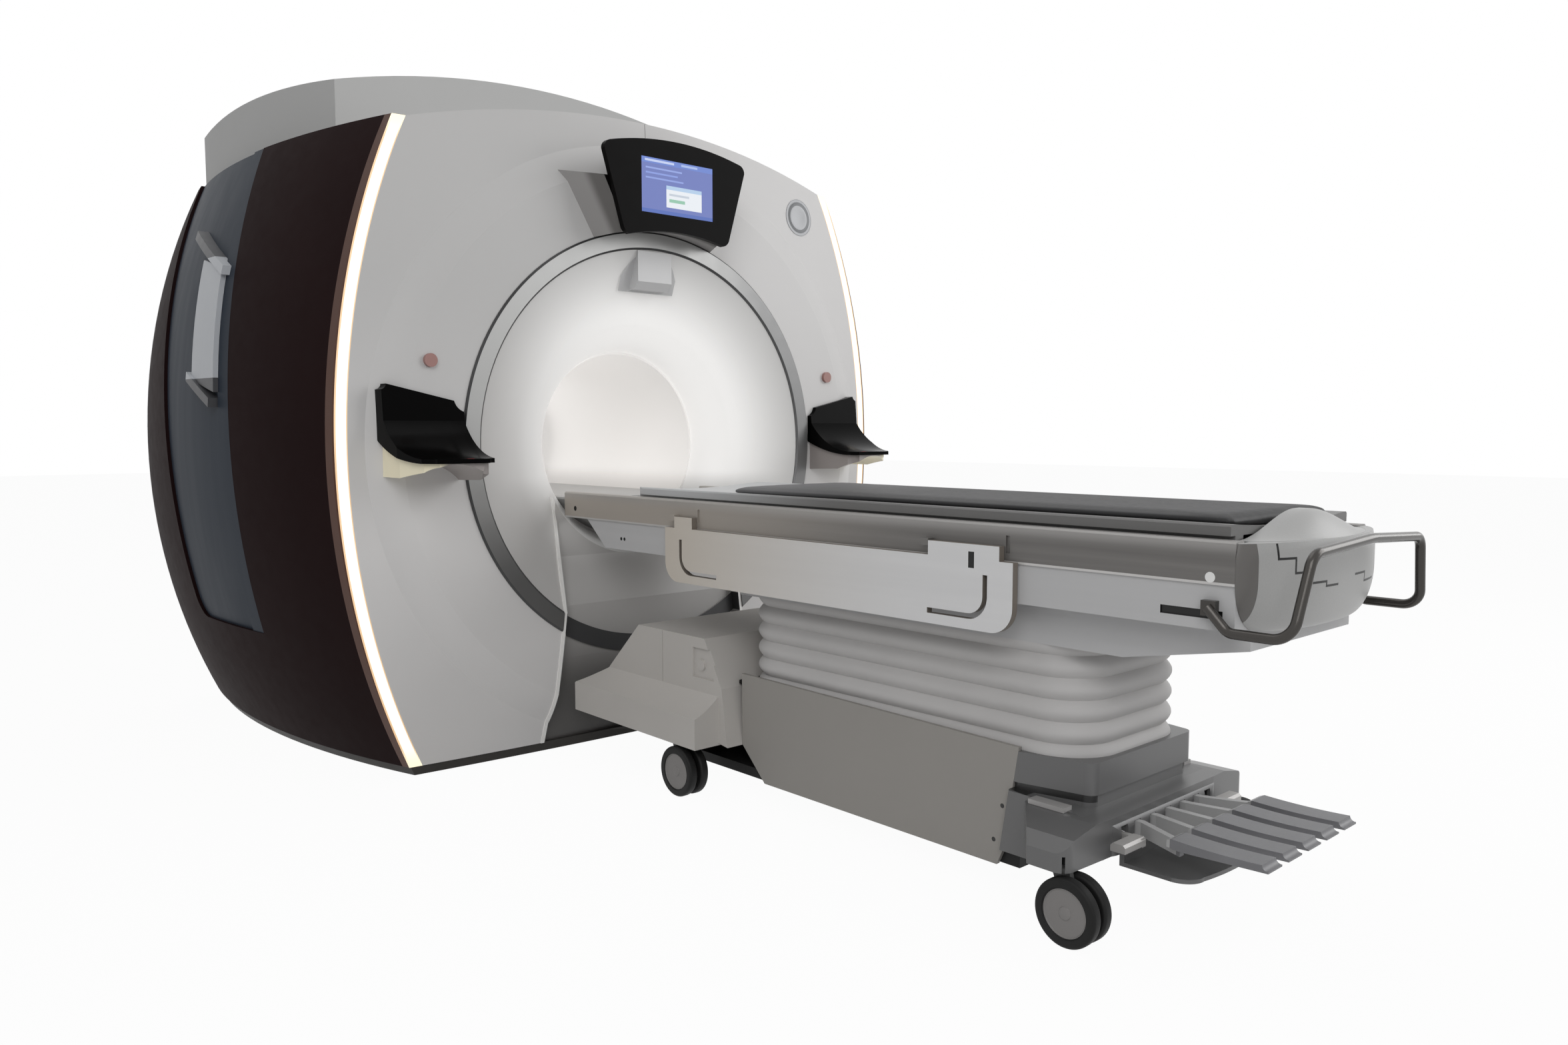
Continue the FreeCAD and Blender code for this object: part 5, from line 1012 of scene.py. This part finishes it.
# %% Round badge
BADGE_AT = Vector((0.789, -3.0, 2.045))
_, badge_spot, badge_out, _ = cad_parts["front_cover_right"].ray_cast(
    BADGE_AT, Vector((0.0, 1.0, 0.0)))
badge_profile = [(0.076, -0.008), (0.076, 0.0016), (0.073, 0.0026), (0.066, 0.0026),
                 (0.063, 0.0012), (0.040, 0.0012), (0.028, 0.0022), (0.0, 0.0026)]
badge_grey = finish("badge_grey", (0.34, 0.345, 0.355), 0.35, metal=0.2, drift=0.1)
badge_x, _, badge_z = coordinates(badge_grey)
badge_ring = distance(badge_grey, badge_x, badge_z, (BADGE_AT.x, BADGE_AT.z))
paint_zone(badge_grey, between(badge_grey, badge_ring, 0.050, 0.064), (0.14, 0.145, 0.15))
badge = turned("round_badge", badge_profile, badge_spot, badge_out, badge_grey)
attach(badge, "gantry")
print("badge at", [round(value, 3) for value in badge_spot])

# %% [markdown]
# ## Camera
# The camera stands where the photograph was taken: at the left of the table's foot, a
# little above the table top, looking slightly down, with a wide lens.

# %% Camera
LOOKS_DOWN, TURNED_RIGHT = 4.647, 42.35
eye = bpy.data.objects.new("camera", bpy.data.cameras.new("camera"))
bpy.context.scene.collection.objects.link(eye)
eye.location = (-2.536, -4.399, 1.154)
eye.rotation_euler = (math.radians(90 - LOOKS_DOWN), 0, math.radians(-TURNED_RIGHT))
eye.data.lens = 26.08
eye.data.sensor_width = 36
eye.data.clip_end = 60
bpy.context.scene.camera = eye
print("camera: a lens of", eye.data.lens, "mm")

# %% [markdown]
# ## The floor
# A studio cut-out has a white ground that shows white to the camera, yet still takes a faint
# soft shadow. The floor mixes a plain white glow, seen only by camera, glossy and see-through
# rays, with a diffuse ground.

# %% Floor
FLOOR_HALF = 30
FLOOR_GLOW = 0.96
white_floor = bpy.data.materials.new("white_floor")
white_floor.use_nodes = True
nodes, links = nodes_of(white_floor)
nodes.remove(nodes["Principled BSDF"])
paths = nodes.new("ShaderNodeLightPath")
ground = nodes.new("ShaderNodeBsdfDiffuse")
ground.inputs["Color"].default_value = (0.82, 0.82, 0.82, 1)
white = nodes.new("ShaderNodeEmission")
white.inputs["Color"].default_value = (1, 1, 1, 1)
mixed = nodes.new("ShaderNodeMixShader")
seen = calculate(white_floor, "MAXIMUM", paths.outputs["Is Camera Ray"],
                 paths.outputs["Is Glossy Ray"])
seen = calculate(white_floor, "MAXIMUM", seen, paths.outputs["Is Transmission Ray"])
links.new(calculate(white_floor, "MULTIPLY", seen, FLOOR_GLOW), mixed.inputs["Fac"])
links.new(ground.outputs[0], mixed.inputs[1])
links.new(white.outputs[0], mixed.inputs[2])
links.new(mixed.outputs[0], nodes["Material Output"].inputs["Surface"])
corners = [(x * FLOOR_HALF, y * FLOOR_HALF, 0) for x, y in ((-1, -1), (1, -1), (1, 1), (-1, 1))]
floor = piece_from("floor", corners, [(0, 1, 2, 3)], white_floor)
floor.location.z = -0.0005
print("floor:", 2 * FLOOR_HALF, "m square")

# %% [markdown]
# ## Sky and lamps
# An even sky lights the object from all sides and shows white to the camera, to glossy and to
# see-through rays. Three large soft lamps stand in front and above, and a weak one in the
# bore lights it from within.

# %% Sky and lamps
SKY_LIGHT = 0.28
world = bpy.data.worlds.new("studio")
bpy.context.scene.world = world
world.use_nodes = True
sky_nodes, sky_links = world.node_tree.nodes, world.node_tree.links
backdrop = sky_nodes["Background"]
backdrop.inputs["Color"].default_value = (1, 1, 1, 1)
rays = sky_nodes.new("ShaderNodeLightPath")
direct = sky_nodes.new("ShaderNodeMath")
direct.operation = "MAXIMUM"
clear = sky_nodes.new("ShaderNodeMath")
clear.operation = "MAXIMUM"
level = sky_nodes.new("ShaderNodeMapRange")
level.inputs["To Min"].default_value = SKY_LIGHT
level.inputs["To Max"].default_value = 1.0
sky_links.new(rays.outputs["Is Camera Ray"], direct.inputs[0])
sky_links.new(rays.outputs["Is Glossy Ray"], direct.inputs[1])
sky_links.new(direct.outputs[0], clear.inputs[0])
sky_links.new(rays.outputs["Is Transmission Ray"], clear.inputs[1])
sky_links.new(clear.outputs[0], level.inputs["Value"])
sky_links.new(level.outputs["Result"], backdrop.inputs["Strength"])


def soft_lamp(name, place, target, power, size):
    """A square lamp that faces a target; power in watts, size in metres."""
    lamp = bpy.data.objects.new(name, bpy.data.lights.new(name, "AREA"))
    bpy.context.scene.collection.objects.link(lamp)
    lamp.data.energy = power
    lamp.data.size = size
    lamp.location = place
    lamp.rotation_euler = (Vector(target) - Vector(place)).to_track_quat("-Z", "Y").to_euler()


LAMPS = (
    ("key", (-4.5, -6.0, 4.5), (0, -1.5, 0.9), 150, 4.0),
    ("fill", (4.5, -5.5, 3.5), (0, -1.0, 1.2), 150, 4.0),
    ("top", (0, -0.5, 6.5), (0, -1.0, 1.0), 55, 4.0),
    ("bore", (0, 0.45, 1.15), (0, -1.0, 1.1), 0.5, 0.5),
)
for name, place, target, power, size in LAMPS:
    soft_lamp(name, place, target, power, size)
bpy.context.scene.view_settings.view_transform = "Standard"
print("lamps:", len(LAMPS))
